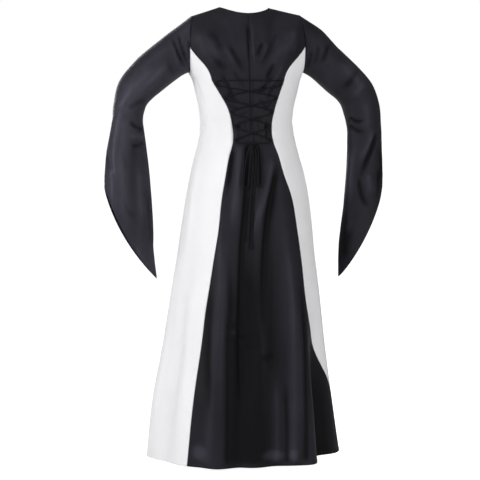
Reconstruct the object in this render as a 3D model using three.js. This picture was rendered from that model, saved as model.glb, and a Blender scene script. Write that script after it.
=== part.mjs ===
// A floor-length princess-seam dress, as it hangs when worn: hollow, with long pointed sleeves and a laced back.
// Sizes are in mm. Z is up, the back faces +Y and the wearer's left is +X.
// The origin lies between the two neck points of the shoulders, where the wearer holds the dress up.
import * as THREE from "three";

// Driving sizes
const CLOTH = 1.6; // thickness of every cloth wall
const SEAM_GAP = 0.4; // space left between two pieces along a seam
const HEM = -1420; // height of the hem
const HIP = -480; // height where the rows of the mesh get wider apart
const YOKE = -230; // height of the last level ring, above which the panels rise to neck and shoulder
const NECK = { halfWidth: 81, backDepth: 58, backDrop: 20, frontDepth: 76, frontDrop: 85 };
const LACE_WIDTH = 4; // diameter of the lace
const LOOP = { radius: 6.8, width: 2.6, inset: 10, pass: 5, top: -242, bottom: -416, count: 5 };
const KNOT = { halfWidth: 11, halfDepth: 7, halfHeight: 8, height: -427 };

// How finely the cloth is divided
const ROWS = { skirt: 14, bodice: 8, yoke: 7 };
const COLUMNS = { backHalf: 12, side: 8, frontHalf: 12 }; // four from each station of the top edge to the next
const SLEEVE_MESH = { rings: 20, perStation: 4 };

// Level rings of bodice and skirt: half width, depth behind and before the middle, and sway to the left
const RINGS = [
  { z: -1420, width: 309, back: 238, front: 236, sway: -3 },
  { z: -1240, width: 288, back: 226, front: 222, sway: 0 },
  { z: -1080, width: 264, back: 207, front: 203, sway: -2 },
  { z: -930, width: 244, back: 190, front: 184, sway: -5 },
  { z: -800, width: 224, back: 172, front: 164, sway: -7 },
  { z: -700, width: 211, back: 156, front: 148, sway: -8 },
  { z: -600, width: 197, back: 139, front: 131, sway: -10 },
  { z: -520, width: 182, back: 122, front: 118, sway: -10 },
  { z: -467, width: 169, back: 110, front: 108, sway: -10 },
  { z: -415, width: 156, back: 97, front: 100, sway: -10 },
  { z: -366, width: 149, back: 89, front: 96, sway: -9 },
  { z: -315, width: 153, back: 89, front: 104, sway: -8 },
  { z: -265, width: 165, back: 92, front: 118, sway: -9 },
  { z: -230, width: 173, back: 94, front: 116, sway: -9 },
];

// Seams, in degrees round from the middle of the back. The skirt is turned a little at the hem.
const SEAMS = [
  { z: -1420, turn: -20, backLeft: 46, frontLeft: 110, backRight: 88, frontRight: 150 },
  { z: -1240, turn: -16, backLeft: 44, frontLeft: 117, backRight: 79, frontRight: 146 },
  { z: -1135, turn: -13, backLeft: 43, frontLeft: 122, backRight: 65, frontRight: 142 },
  { z: -1030, turn: -10, backLeft: 41.5, frontLeft: 128, backRight: 51, frontRight: 138 },
  { z: -930, turn: -8, backLeft: 40.5, frontLeft: 133, backRight: 42, frontRight: 137 },
  { z: -800, turn: -6, backLeft: 37.5, frontLeft: 138, backRight: 42, frontRight: 137 },
  { z: -700, turn: -4, backLeft: 34, frontLeft: 142, backRight: 41, frontRight: 138 },
  { z: -600, turn: -2, backLeft: 33, frontLeft: 145, backRight: 38, frontRight: 142 },
  { z: -520, turn: -1, backLeft: 30, frontLeft: 148, backRight: 31.5, frontRight: 147 },
  { z: -467, turn: 0, backLeft: 28, frontLeft: 150, backRight: 28.5, frontRight: 150 },
  { z: -415, turn: 0, backLeft: 24.5, frontLeft: 154, backRight: 24, frontRight: 154 },
  { z: -366, turn: 0, backLeft: 26, frontLeft: 153, backRight: 25, frontRight: 154 },
  { z: -315, turn: 0, backLeft: 30.5, frontLeft: 148, backRight: 29.5, frontRight: 149 },
  { z: -265, turn: 0, backLeft: 40, frontLeft: 137, backRight: 33.5, frontRight: 141 },
  { z: -230, turn: 0, backLeft: 47, frontLeft: 130, backRight: 37, frontRight: 137 },
];

// Folds of the skirt: degrees at hem and waist, depth (ridges +, furrows -), half spread in degrees,
// the height where each begins and how far down it takes to reach its full depth
const FOLDS = [
  { hem: 13, waist: 3, depth: -12, spread: 6, from: -430, growth: 250 },
  { hem: 26, waist: 31, depth: 16, spread: 7, from: -520, growth: 600 },
  { hem: 66, waist: 62, depth: -12, spread: 9, from: -700, growth: 600 },
  { hem: 92, waist: 90, depth: 10, spread: 10, from: -760, growth: 600 },
  { hem: -8, waist: -18, depth: -12, spread: 7, from: -450, growth: 350 },
  { hem: -29, waist: -37, depth: 28, spread: 9, from: -640, growth: 700 },
  { hem: -53, waist: -56, depth: -50, spread: 12, from: -850, growth: 480 },
  { hem: -112, waist: -105, depth: -16, spread: 10, from: -700, growth: 600 },
  { hem: -134, waist: -128, depth: 14, spread: 9, from: -760, growth: 600 },
  { hem: 124, waist: 140, depth: -14, spread: 8, from: -640, growth: 600 },
  { hem: 141, waist: 152, depth: 18, spread: 8, from: -560, growth: 700 },
  { hem: 160, waist: 168, depth: -15, spread: 8, from: -600, growth: 600 },
  { hem: 180, waist: 181, depth: 16, spread: 8, from: -620, growth: 650 },
  { hem: 198, waist: 196, depth: -14, spread: 8, from: -680, growth: 600 },
];

// Armholes: the shoulder tip, the lowest point under the arm, and how far the middle stands out
const ARMHOLES = {
  left: { side: 1, tipX: 167, tipZ: -28, underX: 172, underZ: -203, stand: 14, back: 54, front: 60 },
  right: { side: -1, tipX: 178, tipZ: -21, underX: 190, underZ: -201, stand: 2, back: 54, front: 60 },
};

// How the panels arrive at their top edge, from the middle of the back (0) by the neck point (1), the
// shoulder tip (2) and the end of the back seam (3) to the underarm (4): a direction outwards, back and up
const ARRIVAL = [
  { column: 0, out: 0, back: -0.35, up: 0.94 },
  { column: 1, out: 0, back: -0.8, up: 0.6 },
  { column: 2, out: 0, back: -0.97, up: 0.24 },
  { column: 3, out: 0.5, back: -0.15, up: 0.85 },
  { column: 4, out: 0.05, back: 0, up: 1 },
];
const SEAM_ON_ARMHOLE = 98; // degrees round the armhole, from the shoulder tip, where a princess seam ends

// Sleeve rings from armhole to wrist: outer and inner end of each ring, its half depth and its middle.
// The last row is the slanted cuff, from the wrist to the long point.
const SLEEVES = {
  left: [
    { outX: 167, outZ: -28, inX: 172, inZ: -203, depth: 57, middle: 0 },
    { outX: 236, outZ: -79, inX: 203, inZ: -216, depth: 62, middle: 0 },
    { outX: 294, outZ: -124, inX: 259, inZ: -259, depth: 60, middle: 0 },
    { outX: 349, outZ: -171, inX: 306, inZ: -299, depth: 57, middle: -2 },
    { outX: 396, outZ: -232, inX: 319, inZ: -328, depth: 52, middle: -5 },
    { outX: 413, outZ: -300, inX: 322, inZ: -356, depth: 47, middle: -8 },
    { outX: 418, outZ: -359, inX: 318, inZ: -386, depth: 43, middle: -10 },
    { outX: 435, outZ: -440, inX: 307, inZ: -462, depth: 42, middle: -12 },
    { outX: 442, outZ: -510, inX: 299, inZ: -545, depth: 42, middle: -15 },
    { outX: 443, outZ: -537, inX: 292, inZ: -625, depth: 40, middle: -17 },
    { outX: 443, outZ: -552, inX: 289, inZ: -700, depth: 39, middle: -18 },
    { outX: 443, outZ: -562, inX: 288, inZ: -770, depth: 38, middle: -19 },
    { outX: 442, outZ: -570, inX: 278, inZ: -854, depth: 37, middle: -20 },
  ],
  right: [
    { outX: 178, outZ: -21, inX: 190, inZ: -201, depth: 57, middle: 0 },
    { outX: 250, outZ: -66, inX: 222, inZ: -219, depth: 62, middle: 0 },
    { outX: 304, outZ: -120, inX: 272, inZ: -260, depth: 60, middle: 0 },
    { outX: 362, outZ: -172, inX: 318, inZ: -299, depth: 57, middle: -2 },
    { outX: 422, outZ: -234, inX: 334, inZ: -338, depth: 52, middle: -5 },
    { outX: 450, outZ: -303, inX: 342, inZ: -366, depth: 47, middle: -8 },
    { outX: 457, outZ: -367, inX: 346, inZ: -393, depth: 43, middle: -10 },
    { outX: 463, outZ: -451, inX: 346, inZ: -470, depth: 42, middle: -12 },
    { outX: 466, outZ: -520, inX: 341, inZ: -560, depth: 42, middle: -15 },
    { outX: 466, outZ: -548, inX: 335, inZ: -640, depth: 40, middle: -17 },
    { outX: 466, outZ: -564, inX: 326, inZ: -710, depth: 39, middle: -18 },
    { outX: 465, outZ: -576, inX: 319, inZ: -784, depth: 38, middle: -19 },
    { outX: 464, outZ: -585, inX: 320, inZ: -861, depth: 37, middle: -20 },
  ],
};
const CUFF_BOW = { left: 20, right: 12 }; // how far the slanted cuff edge bows out from a straight cut

const BLACK = { color: "#2c2b32", roughness: 0.9, metalness: 0 };
const WHITE = { color: "#f1f0f2", roughness: 0.85, metalness: 0 };
const CORD = { color: "#1c1b20", roughness: 0.7, metalness: 0 };

const dress = new THREE.Group();
const radians = THREE.MathUtils.degToRad;

function addPiece(name, geometry, finish) {
  const mesh = new THREE.Mesh(geometry, new THREE.MeshStandardMaterial(finish));
  mesh.name = name;
  dress.add(mesh);
}

// Smooth value of one column of a table, read at a place along another column that rises from row to row
function valueAt(table, along, name, at) {
  const last = table.length - 1;
  let row = 0;
  while (row < last - 1 && at > table[row + 1][along]) row += 1;
  const slope = (k) => {
    const before = table[Math.max(k - 1, 0)];
    const after = table[Math.min(k + 1, last)];
    return (after[name] - before[name]) / (after[along] - before[along]);
  };
  const [a, b] = [table[row], table[row + 1]];
  const step = b[along] - a[along];
  const t = THREE.MathUtils.clamp((at - a[along]) / step, 0, 1);
  const rise = b[name] - a[name];
  const bend = (slope(row) * step - rise) * (1 - t) - (slope(row + 1) * step - rise) * t;
  return a[name] + rise * t + bend * t * (1 - t);
}

// Straight value between the rows of a short list of [place, value]
function between(list, at) {
  let row = 0;
  while (row < list.length - 2 && at > list[row + 1][0]) row += 1;
  const [[from, a], [to, b]] = [list[row], list[row + 1]];
  return a + ((b - a) * (at - from)) / (to - from);
}

// Body surface: level rings below the yoke

function foldDepth(degrees, z) {
  const down = (HIP - z) / (HIP - HEM);
  return FOLDS.reduce((sum, fold) => {
    const place = fold.waist + (fold.hem - fold.waist) * THREE.MathUtils.clamp(down, 0, 1);
    const away = THREE.MathUtils.euclideanModulo(degrees - place + 180, 360) - 180;
    const grown = THREE.MathUtils.smoothstep(fold.from - z, 0, fold.growth);
    return sum + fold.depth * grown * Math.exp(-((away / fold.spread) ** 2));
  }, 0);
}

function ringPoint(degrees, z) {
  const angle = radians(degrees);
  const ring = (name) => valueAt(RINGS, "z", name, z);
  const across = ring("width") * Math.sin(angle);
  const behind = ring(Math.cos(angle) > 0 ? "back" : "front") * Math.cos(angle);
  const stretch = 1 + foldDepth(degrees, z) / Math.hypot(across, behind);
  return new THREE.Vector3(ring("sway") + across * stretch, behind * stretch, z);
}

// A column runs from hem to top edge. It is numbered from 0 at the middle of the back to 8 at the middle
// of the front, with the back seam at 3 and the front seam at 5.
function columnDegrees(hole, column, z) {
  const hand = hole.side > 0 ? "Left" : "Right";
  const turn = hole.side * valueAt(SEAMS, "z", "turn", z);
  const stations = [
    [0, turn],
    [3, valueAt(SEAMS, "z", "back" + hand, z)],
    [5, valueAt(SEAMS, "z", "front" + hand, z)],
    [8, 180 + turn],
  ];
  return hole.side * between(stations, column);
}

// Top edge: neckline, shoulder and armhole

function armholePoint(hole, degrees) {
  const angle = radians(degrees);
  const down = (1 - Math.cos(angle)) / 2;
  const x = hole.tipX + (hole.underX - hole.tipX) * down + hole.stand * Math.abs(Math.sin(angle));
  const y = (degrees < 180 ? hole.back : hole.front) * Math.sin(angle);
  return new THREE.Vector3(hole.side * x, y, hole.tipZ + (hole.underZ - hole.tipZ) * down);
}

const ARMHOLE_STATIONS = [
  [2, 0],
  [3, SEAM_ON_ARMHOLE],
  [4, 180],
  [5, 360 - SEAM_ON_ARMHOLE],
  [6, 360],
];

function topPoint(hole, column) {
  const fromFront = column > 4;
  const near = fromFront ? 8 - column : column; // counted from the nearer middle
  if (near >= 2) return armholePoint(hole, between(ARMHOLE_STATIONS, column));
  if (near >= 1) {
    const x = NECK.halfWidth + (hole.tipX - NECK.halfWidth) * (near - 1);
    return new THREE.Vector3(hole.side * x, 0, hole.tipZ * (near - 1));
  }
  const angle = (near * Math.PI) / 2;
  const depth = fromFront ? -NECK.frontDepth : NECK.backDepth;
  const drop = fromFront ? NECK.frontDrop : NECK.backDrop;
  return new THREE.Vector3(
    hole.side * NECK.halfWidth * Math.sin(angle),
    depth * Math.cos(angle),
    -drop * Math.cos(angle) ** 2,
  );
}

function arrival(hole, column) {
  const near = column > 4 ? 8 - column : column;
  const [out, back, up] = ["out", "back", "up"].map((name) =>
    between(
      ARRIVAL.map((row) => [row.column, row[name]]),
      Math.max(near, 0),
    ),
  );
  return new THREE.Vector3(hole.side * out, column > 4 ? -back : back, up).normalize();
}

function yokePoint(hole, column, t) {
  const degrees = columnDegrees(hole, column, YOKE);
  const start = ringPoint(degrees, YOKE);
  const end = topPoint(hole, column);
  const reach = start.distanceTo(end) * 1.15;
  const rise = start.clone().sub(ringPoint(degrees, YOKE - 1)).setLength(reach);
  const land = arrival(hole, column).multiplyScalar(reach);
  return start
    .clone()
    .multiplyScalar(2 * t ** 3 - 3 * t ** 2 + 1)
    .addScaledVector(rise, t ** 3 - 2 * t ** 2 + t)
    .addScaledVector(end, 3 * t ** 2 - 2 * t ** 3)
    .addScaledVector(land, t ** 3 - t ** 2);
}

// A row is numbered 0 at the hem, 1 at the yoke and 2 at the top edge
function bodyPoint(hole, column, row) {
  if (row > 1) return yokePoint(hole, column, row - 1);
  const z = HEM + (YOKE - HEM) * row;
  return ringPoint(columnDegrees(hole, column, z), z);
}

// Slopes of the body surface along a row and up a column
function bodySlopes(hole, column, row) {
  const [dc, dr] = [0.02, 0.003];
  const low = Math.min(row, 2 - dr);
  const along = bodyPoint(hole, column + dc, row).sub(bodyPoint(hole, column - dc, row));
  const rising = bodyPoint(hole, column, low + dr).sub(bodyPoint(hole, column, low - dr));
  return { along: along.divideScalar(2 * dc), rising: rising.divideScalar(2 * dr) };
}

function bodyNormal(hole, column, row) {
  const { along, rising } = bodySlopes(hole, column, row);
  const normal = rising.cross(along).multiplyScalar(hole.side);
  const near = column > 4 ? 8 - column : column;
  const onShoulder = row > 1.99 && near >= 1 && near <= 2;
  if (onShoulder) normal.setY(0); // front and back meet squarely along the shoulder seam
  return normal.normalize();
}

// Cloth walls: a grid of outer points, each with the way out, thickened inwards and closed at its edges

function wall(rows, closed) {
  const [height, width] = [rows.length, rows[0].length];
  const positions = [];
  for (const depth of [0, CLOTH])
    for (const row of rows)
      for (const { point, normal } of row)
        positions.push(...point.clone().addScaledVector(normal, -depth));
  const inner = height * width;
  const faces = [];
  const quad = (a, b, c, d) => faces.push(a, b, c, a, c, d);
  const lastColumn = closed ? width : width - 1;
  for (let row = 0; row < height - 1; row += 1) {
    for (let column = 0; column < lastColumn; column += 1) {
      const a = row * width + column;
      const b = row * width + ((column + 1) % width);
      quad(a, b, b + width, a + width);
      quad(inner + a, inner + a + width, inner + b + width, inner + b);
    }
  }
  for (let column = 0; column < lastColumn; column += 1) {
    const [a, b] = [column, (column + 1) % width];
    const top = (height - 1) * width;
    quad(a, inner + a, inner + b, b);
    quad(top + a, top + b, inner + top + b, inner + top + a);
  }
  for (let row = 0; row < height - 1 && !closed; row += 1) {
    const [a, b] = [row * width, row * width + width - 1];
    quad(a, a + width, inner + a + width, inner + a);
    quad(b, inner + b, inner + b + width, b + width);
  }
  return facingOut(positions, faces);
}

function facingOut(positions, faces) {
  const corner = (k) => new THREE.Vector3().fromArray(positions, faces[k] * 3);
  let volume = 0;
  for (let k = 0; k < faces.length; k += 3)
    volume += corner(k).dot(corner(k + 1).cross(corner(k + 2)));
  if (volume < 0) faces.reverse();
  const geometry = new THREE.BufferGeometry();
  geometry.setAttribute("position", new THREE.Float32BufferAttribute(positions, 3));
  geometry.setIndex(faces);
  geometry.computeVertexNormals();
  return geometry;
}

const steps = (from, to, count) => Array.from({ length: count }, (_, k) => from + ((to - from) * k) / count);
const HIP_ROW = (HIP - HEM) / (YOKE - HEM);
const ROW_NUMBERS = [
  ...steps(0, HIP_ROW, ROWS.skirt),
  ...steps(HIP_ROW, 1, ROWS.bodice),
  ...steps(1, 2, ROWS.yoke),
  2,
];

// One point of a panel, drawn back from its seams by half the seam gap
function panelPoint(hole, column, row, drawBack) {
  const { along } = bodySlopes(hole, column, row);
  const place = column + (drawBack * SEAM_GAP) / 2 / along.length();
  const { rising } = bodySlopes(hole, place, row);
  const height = row === 2 ? row - SEAM_GAP / 2 / rising.length() : row;
  return { point: bodyPoint(hole, place, height), normal: bodyNormal(hole, place, height) };
}

function panelRow(hole, first, last, count, row) {
  return Array.from({ length: count + 1 }, (_, k) => {
    const column = first + ((last - first) * k) / count;
    return panelPoint(hole, column, row, k === 0 ? 1 : k === count ? -1 : 0);
  });
}

for (const [hand, hole] of Object.entries(ARMHOLES)) {
  const back = ROW_NUMBERS.map((row) => panelRow(hole, 0, 3, COLUMNS.backHalf, row));
  const side = ROW_NUMBERS.map((row) => panelRow(hole, 3, 5, COLUMNS.side, row));
  addPiece("back_" + hand, wall(back, false), BLACK);
  addPiece("side_" + hand, wall(side, false), WHITE);
}

// The front is one piece from princess seam to princess seam
const front = ROW_NUMBERS.map((row) => {
  const leftHalf = panelRow(ARMHOLES.left, 5, 8, COLUMNS.frontHalf, row).slice(0, -1);
  const rightHalf = panelRow(ARMHOLES.right, 5, 8, COLUMNS.frontHalf, row).slice(0, -1);
  const middle = {
    point: panelPoint(ARMHOLES.left, 8, row, 0).point,
    normal: bodyNormal(ARMHOLES.left, 8, row),
  };
  return [...leftHalf, middle, ...rightHalf.reverse()];
});
addPiece("front", wall(front, false), BLACK);

// Sleeves: rings from the armhole to the slanted cuff

function sleevePoint(hand, degrees, ring) {
  const table = SLEEVES[hand].map((row, index) => ({ ...row, index }));
  const read = (name) => valueAt(table, "index", name, ring);
  const { side } = ARMHOLES[hand];
  const angle = radians(degrees);
  const outer = (1 + Math.cos(angle)) / 2;
  const bow = CUFF_BOW[hand] * Math.sin(angle) ** 2 * THREE.MathUtils.smoothstep(ring, 8, table.length - 1);
  const armhole = armholePoint(ARMHOLES[hand], degrees);
  const point = new THREE.Vector3(
    side * (read("inX") + (read("outX") - read("inX")) * outer + bow * 0.87),
    read("middle") + read("depth") * Math.sin(angle),
    read("inZ") + (read("outZ") - read("inZ")) * outer - bow * 0.49,
  );
  return ring < 1 ? armhole.lerp(point, THREE.MathUtils.smoothstep(ring, 0, 1)) : point;
}

function sleeveNormal(hand, degrees, ring) {
  const last = SLEEVES[hand].length - 1;
  const [before, after] = [Math.max(ring - 0.05, 0), Math.min(ring + 0.05, last)];
  const along = sleevePoint(hand, degrees, after).sub(sleevePoint(hand, degrees, before));
  const round = sleevePoint(hand, degrees + 2, ring).sub(sleevePoint(hand, degrees - 2, ring));
  return along.cross(round).multiplyScalar(ARMHOLES[hand].side).normalize();
}

// The sleeve's first ring lies just outside the armhole edge and shares its slope there
function sleeveStart(hole, column) {
  const degrees = between(ARMHOLE_STATIONS, column);
  const normal = bodyNormal(hole, column, 2);
  const alongEdge = armholePoint(hole, degrees + 1).sub(armholePoint(hole, Math.max(degrees - 1, 0)));
  const away = bodySlopes(hole, column, 2).rising.normalize();
  away.x += hole.side;
  const outwards = alongEdge.cross(normal).normalize();
  if (outwards.dot(away) < 0) outwards.negate();
  return { point: armholePoint(hole, degrees).addScaledVector(outwards, SEAM_GAP), normal };
}

for (const [hand, hole] of Object.entries(ARMHOLES)) {
  const last = SLEEVES[hand].length - 1;
  const rings = [];
  for (let k = 0; k <= SLEEVE_MESH.rings; k += 1) {
    const ring = (last * k) / SLEEVE_MESH.rings;
    rings.push(
      steps(2, 6, 4 * SLEEVE_MESH.perStation).map((column) => {
        if (k === 0) return sleeveStart(hole, column);
        const degrees = between(ARMHOLE_STATIONS, column);
        return { point: sleevePoint(hand, degrees, ring), normal: sleeveNormal(hand, degrees, ring) };
      }),
    );
  }
  addPiece("sleeve_" + hand, wall(rings, true), BLACK);
}

// Lacing: loops sewn beside the back seams, and one lace that crosses between them

function tube(points, diameter, stepCount, sides) {
  const corners = steps(0, 2 * Math.PI, sides).map(
    (angle) => new THREE.Vector2((Math.cos(angle) * diameter) / 2, (Math.sin(angle) * diameter) / 2),
  );
  const extrudePath = new THREE.CatmullRomCurve3(points, false, "centripetal");
  return new THREE.ExtrudeGeometry(new THREE.Shape(corners), { steps: stepCount, extrudePath });
}

// A place on the back: across is 1 at the left loops and -1 at the right loops, lift is off the cloth
function onBack(across, z, lift) {
  const inset = THREE.MathUtils.radToDeg(LOOP.inset / valueAt(RINGS, "z", "width", z));
  const left = valueAt(SEAMS, "z", "backLeft", z) - inset;
  const right = -valueAt(SEAMS, "z", "backRight", z) + inset;
  const degrees = right + ((left - right) * (across + 1)) / 2;
  const point = ringPoint(degrees, z);
  const round = ringPoint(degrees + 1, z).sub(ringPoint(degrees - 1, z));
  const up = ringPoint(degrees, z + 2).sub(ringPoint(degrees, z - 2));
  return point.addScaledVector(up.cross(round).normalize(), lift);
}

const LACE_LIFT = LACE_WIDTH / 2 + 0.6; // middle of a lace that lies on the cloth
const CROSSING_LIFT = LACE_WIDTH + 0.8; // more where it passes over the other strand
const loopHeight = (index) => LOOP.top + ((LOOP.bottom - LOOP.top) * index) / (LOOP.count - 1);

for (const [hand, hole] of Object.entries(ARMHOLES)) {
  for (let index = 0; index < LOOP.count; index += 1) {
    const z = loopHeight(index);
    const middle = onBack(hole.side, z, 0);
    const out = onBack(hole.side, z, 1).sub(middle);
    const along = onBack(hole.side + 0.01, z, 0).sub(onBack(hole.side - 0.01, z, 0)).normalize();
    const arch = steps(0, Math.PI, 8).concat(Math.PI).map((angle) =>
      middle
        .clone()
        .addScaledVector(along, Math.cos(angle) * LOOP.radius)
        .addScaledVector(out, Math.sin(angle) * LOOP.radius + 0.9),
    );
    addPiece("loop_" + hand + "_" + (index + 1), tube(arch, LOOP.width, 8, 6), CORD);
  }
}

// One strand from its top loop down to the knot, crossing to the other side at each step
function strand(startSide, over) {
  const points = [];
  for (let index = 0; index < LOOP.count; index += 1) {
    const from = startSide * (index % 2 ? -1 : 1);
    const [above, below] = [loopHeight(index) + LOOP.pass, loopHeight(index) - LOOP.pass];
    points.push(onBack(from, above, LACE_LIFT), onBack(from, below, LACE_LIFT));
    if (index === LOOP.count - 1) break;
    const next = loopHeight(index + 1) + LOOP.pass;
    for (const t of steps(0.05, 1.05, 10)) {
      const crossing = (index % 2 === over ? CROSSING_LIFT : 0) * Math.exp(-(((t - 0.5) / 0.13) ** 2));
      points.push(onBack(from * (1 - 2 * t), below + (next - below) * t, LACE_LIFT + crossing));
    }
  }
  return points;
}

function intoKnot(side) {
  const [x, y, z] = knotMiddle;
  const end = x + side * (KNOT.halfWidth + LACE_WIDTH * 0.1);
  return [
    new THREE.Vector3(end + side * 12, y - 3, z + 1),
    new THREE.Vector3(end + side * 5, y - 1, z),
    new THREE.Vector3(end, y, z),
  ];
}

const knotMiddle = onBack(0, KNOT.height, KNOT.halfDepth + 0.8);
const bar = loopHeight(0) + 12;
const topBar = steps(-1, 0.96, 10).map((across) => onBack(across, bar, LACE_LIFT));
const leftStrand = [...topBar, ...strand(1, 0), ...intoKnot(1)];
const rightStrand = [onBack(-1, bar - LACE_WIDTH * 0.65, LACE_LIFT), ...strand(-1, 1), ...intoKnot(-1)];
addPiece("lace_left_strand", tube(leftStrand, LACE_WIDTH, 108, 6), CORD);
addPiece("lace_right_strand", tube(rightStrand, LACE_WIDTH, 84, 6), CORD);

const knot = new THREE.SphereGeometry(1, 12, 8);
knot.scale(KNOT.halfWidth, KNOT.halfDepth, KNOT.halfHeight);
knot.translate(...knotMiddle);
addPiece("lace_knot", knot, CORD);

// Cords that hang free from the knot over the skirt: each route goes [across, back, up], and the length
// of one step along it keeps the curve smooth. The ends finish in small knots.
const HANGING = {
  lace_end_left: [
    [-7.4, 105.9, -433.5],
    [-7, 107.5, -443],
    [-6.5, 109.5, -452],
    [-5.3, 112.5, -466],
    [-4, 115.5, -481],
    [-2, 117.5, -496],
    [0, 120, -511],
    [2, 123, -528],
    [4, 125.5, -545],
    [6.5, 128, -562],
    [9, 130.5, -580],
    [11.5, 134, -600],
    [14, 137, -620],
    [16.5, 140, -640],
    [19, 143.5, -660],
    [21, 146, -676],
    [23, 148.5, -692],
    [24.3, 150.5, -704],
    [25, 152, -713],
  ],
  lace_end_right: [
    [-13.2, 105.9, -433.5],
    [-13.2, 107.5, -443],
    [-13, 109.5, -452],
    [-12.3, 112.5, -466],
    [-11.3, 115.5, -481],
    [-10, 118.5, -496],
    [-8.5, 121.5, -511],
    [-6.7, 124, -528],
    [-5, 126.5, -545],
    [-3, 129, -562],
    [-1, 131.5, -580],
    [1.3, 133.5, -600],
    [3.5, 136, -620],
    [5.5, 139, -640],
    [7.5, 141.5, -660],
    [9.3, 144.5, -680],
    [11, 147.5, -700],
    [12.3, 151, -720],
    [13, 154.8, -738],
  ],
  bow_left: [
    [-3.3, 110.8, -431.9],
    [-1.6, 111, -438],
    [1, 111, -447],
    [4, 111.5, -458],
    [6.3, 114.5, -478],
    [9, 118, -500],
    [12, 122, -522],
    [14.6, 126, -542],
    [16, 127.5, -553],
    [18.5, 129.5, -560],
    [23, 130, -563],
    [27.5, 130, -560],
    [30, 128.5, -552.5],
    [29.6, 126, -540],
    [27, 122, -520],
    [23.2, 117.5, -497],
    [18.5, 113, -474],
    [14, 109.5, -456],
    [9.8, 107.8, -443],
    [5, 106.8, -434.5],
    [-0.5, 106.3, -430.1],
  ],
  bow_right: [
    [-16.8, 110.9, -431.5],
    [-18.2, 111, -438],
    [-20, 111, -447],
    [-20.8, 112, -458],
    [-19.8, 115.5, -478],
    [-17.8, 120, -500],
    [-15.6, 124, -522],
    [-13.8, 127.5, -540],
    [-13.4, 129, -549],
    [-15.4, 130.5, -556],
    [-20, 132, -559.3],
    [-24.6, 132, -556.5],
    [-27.2, 130.5, -549],
    [-28.3, 127.5, -536],
    [-29, 123.5, -516],
    [-29.3, 118.5, -494],
    [-29, 114, -472],
    [-28, 110, -456],
    [-26.6, 107.8, -444],
    [-23.6, 106.8, -435.5],
    [-18.9, 106.3, -430.1],
  ],
};
const HANGING_STEP = 9.5;
const TIP = { radius: 3.6, height: 4.6, gap: 0.3 };

for (const [name, route] of Object.entries(HANGING)) {
  const points = route.map((place) => new THREE.Vector3(...place));
  const stepCount = Math.round(new THREE.CatmullRomCurve3(points).getLength() / HANGING_STEP);
  addPiece(name, tube(points, LACE_WIDTH, stepCount, 8), CORD);
  if (!name.startsWith("lace_end")) continue;
  const [end, before] = [points.at(-1), points.at(-2)];
  const onwards = end.clone().sub(before).normalize();
  const tip = new THREE.SphereGeometry(1, 8, 6);
  tip.scale(TIP.radius, TIP.height, TIP.radius);
  tip.applyQuaternion(new THREE.Quaternion().setFromUnitVectors(new THREE.Vector3(0, 1, 0), onwards));
  tip.translate(...end.addScaledVector(onwards, TIP.height + TIP.gap));
  addPiece(name.replace("lace_end", "tip_knot"), tip, CORD);
}

export default dress;
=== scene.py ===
"""A floor-length princess-seam dress with long pointed sleeves and a laced back, as it hangs when worn."""
import logging
import math
from dataclasses import dataclass, field
from enum import Enum

import bpy
import numpy as np
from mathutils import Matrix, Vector


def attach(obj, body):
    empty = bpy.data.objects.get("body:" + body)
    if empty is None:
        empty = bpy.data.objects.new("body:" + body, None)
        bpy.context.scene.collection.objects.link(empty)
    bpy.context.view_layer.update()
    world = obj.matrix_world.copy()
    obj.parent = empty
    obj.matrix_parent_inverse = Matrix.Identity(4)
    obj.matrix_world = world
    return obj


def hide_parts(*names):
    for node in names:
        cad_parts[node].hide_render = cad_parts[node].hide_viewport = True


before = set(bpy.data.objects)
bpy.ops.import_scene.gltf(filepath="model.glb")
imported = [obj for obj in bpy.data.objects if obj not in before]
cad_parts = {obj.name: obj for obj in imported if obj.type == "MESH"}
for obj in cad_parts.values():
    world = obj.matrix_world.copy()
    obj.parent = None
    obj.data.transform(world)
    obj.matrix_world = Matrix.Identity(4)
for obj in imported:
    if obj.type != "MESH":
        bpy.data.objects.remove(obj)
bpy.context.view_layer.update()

LOG = logging.getLogger("dress")
MM = 0.001
ROOT = "root"

# Driving sizes of the dress, in mm: Z is up, the back faces +Y and the wearer's left is +X
HEM = -1420.0
HIP = -480.0
YOKE = -230.0
NECK_HALF_WIDTH = 81.0
NECK_BACK = (58.0, 20.0)
NECK_FRONT = (76.0, 85.0)
CLOTH = 1.0
LACE_WIDTH = 4.0
SEAM_ON_ARMHOLE = 98.0


class Hand(Enum):
    """The wearer's side that a piece belongs to; the value is the sign of its X."""

    LEFT = 1
    RIGHT = -1

    @property
    def word(self) -> str:
        """The side's name as it stands in the names of pieces."""
        return self.name.lower()


class Facing(Enum):
    """The way that a stretch of cloth looks: the axis across it, and the axis and sign of its normal."""

    BACK = (0, 1, 1)
    FRONT = (0, 1, -1)
    LEFT = (1, 0, 1)
    RIGHT = (1, 0, -1)


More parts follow.
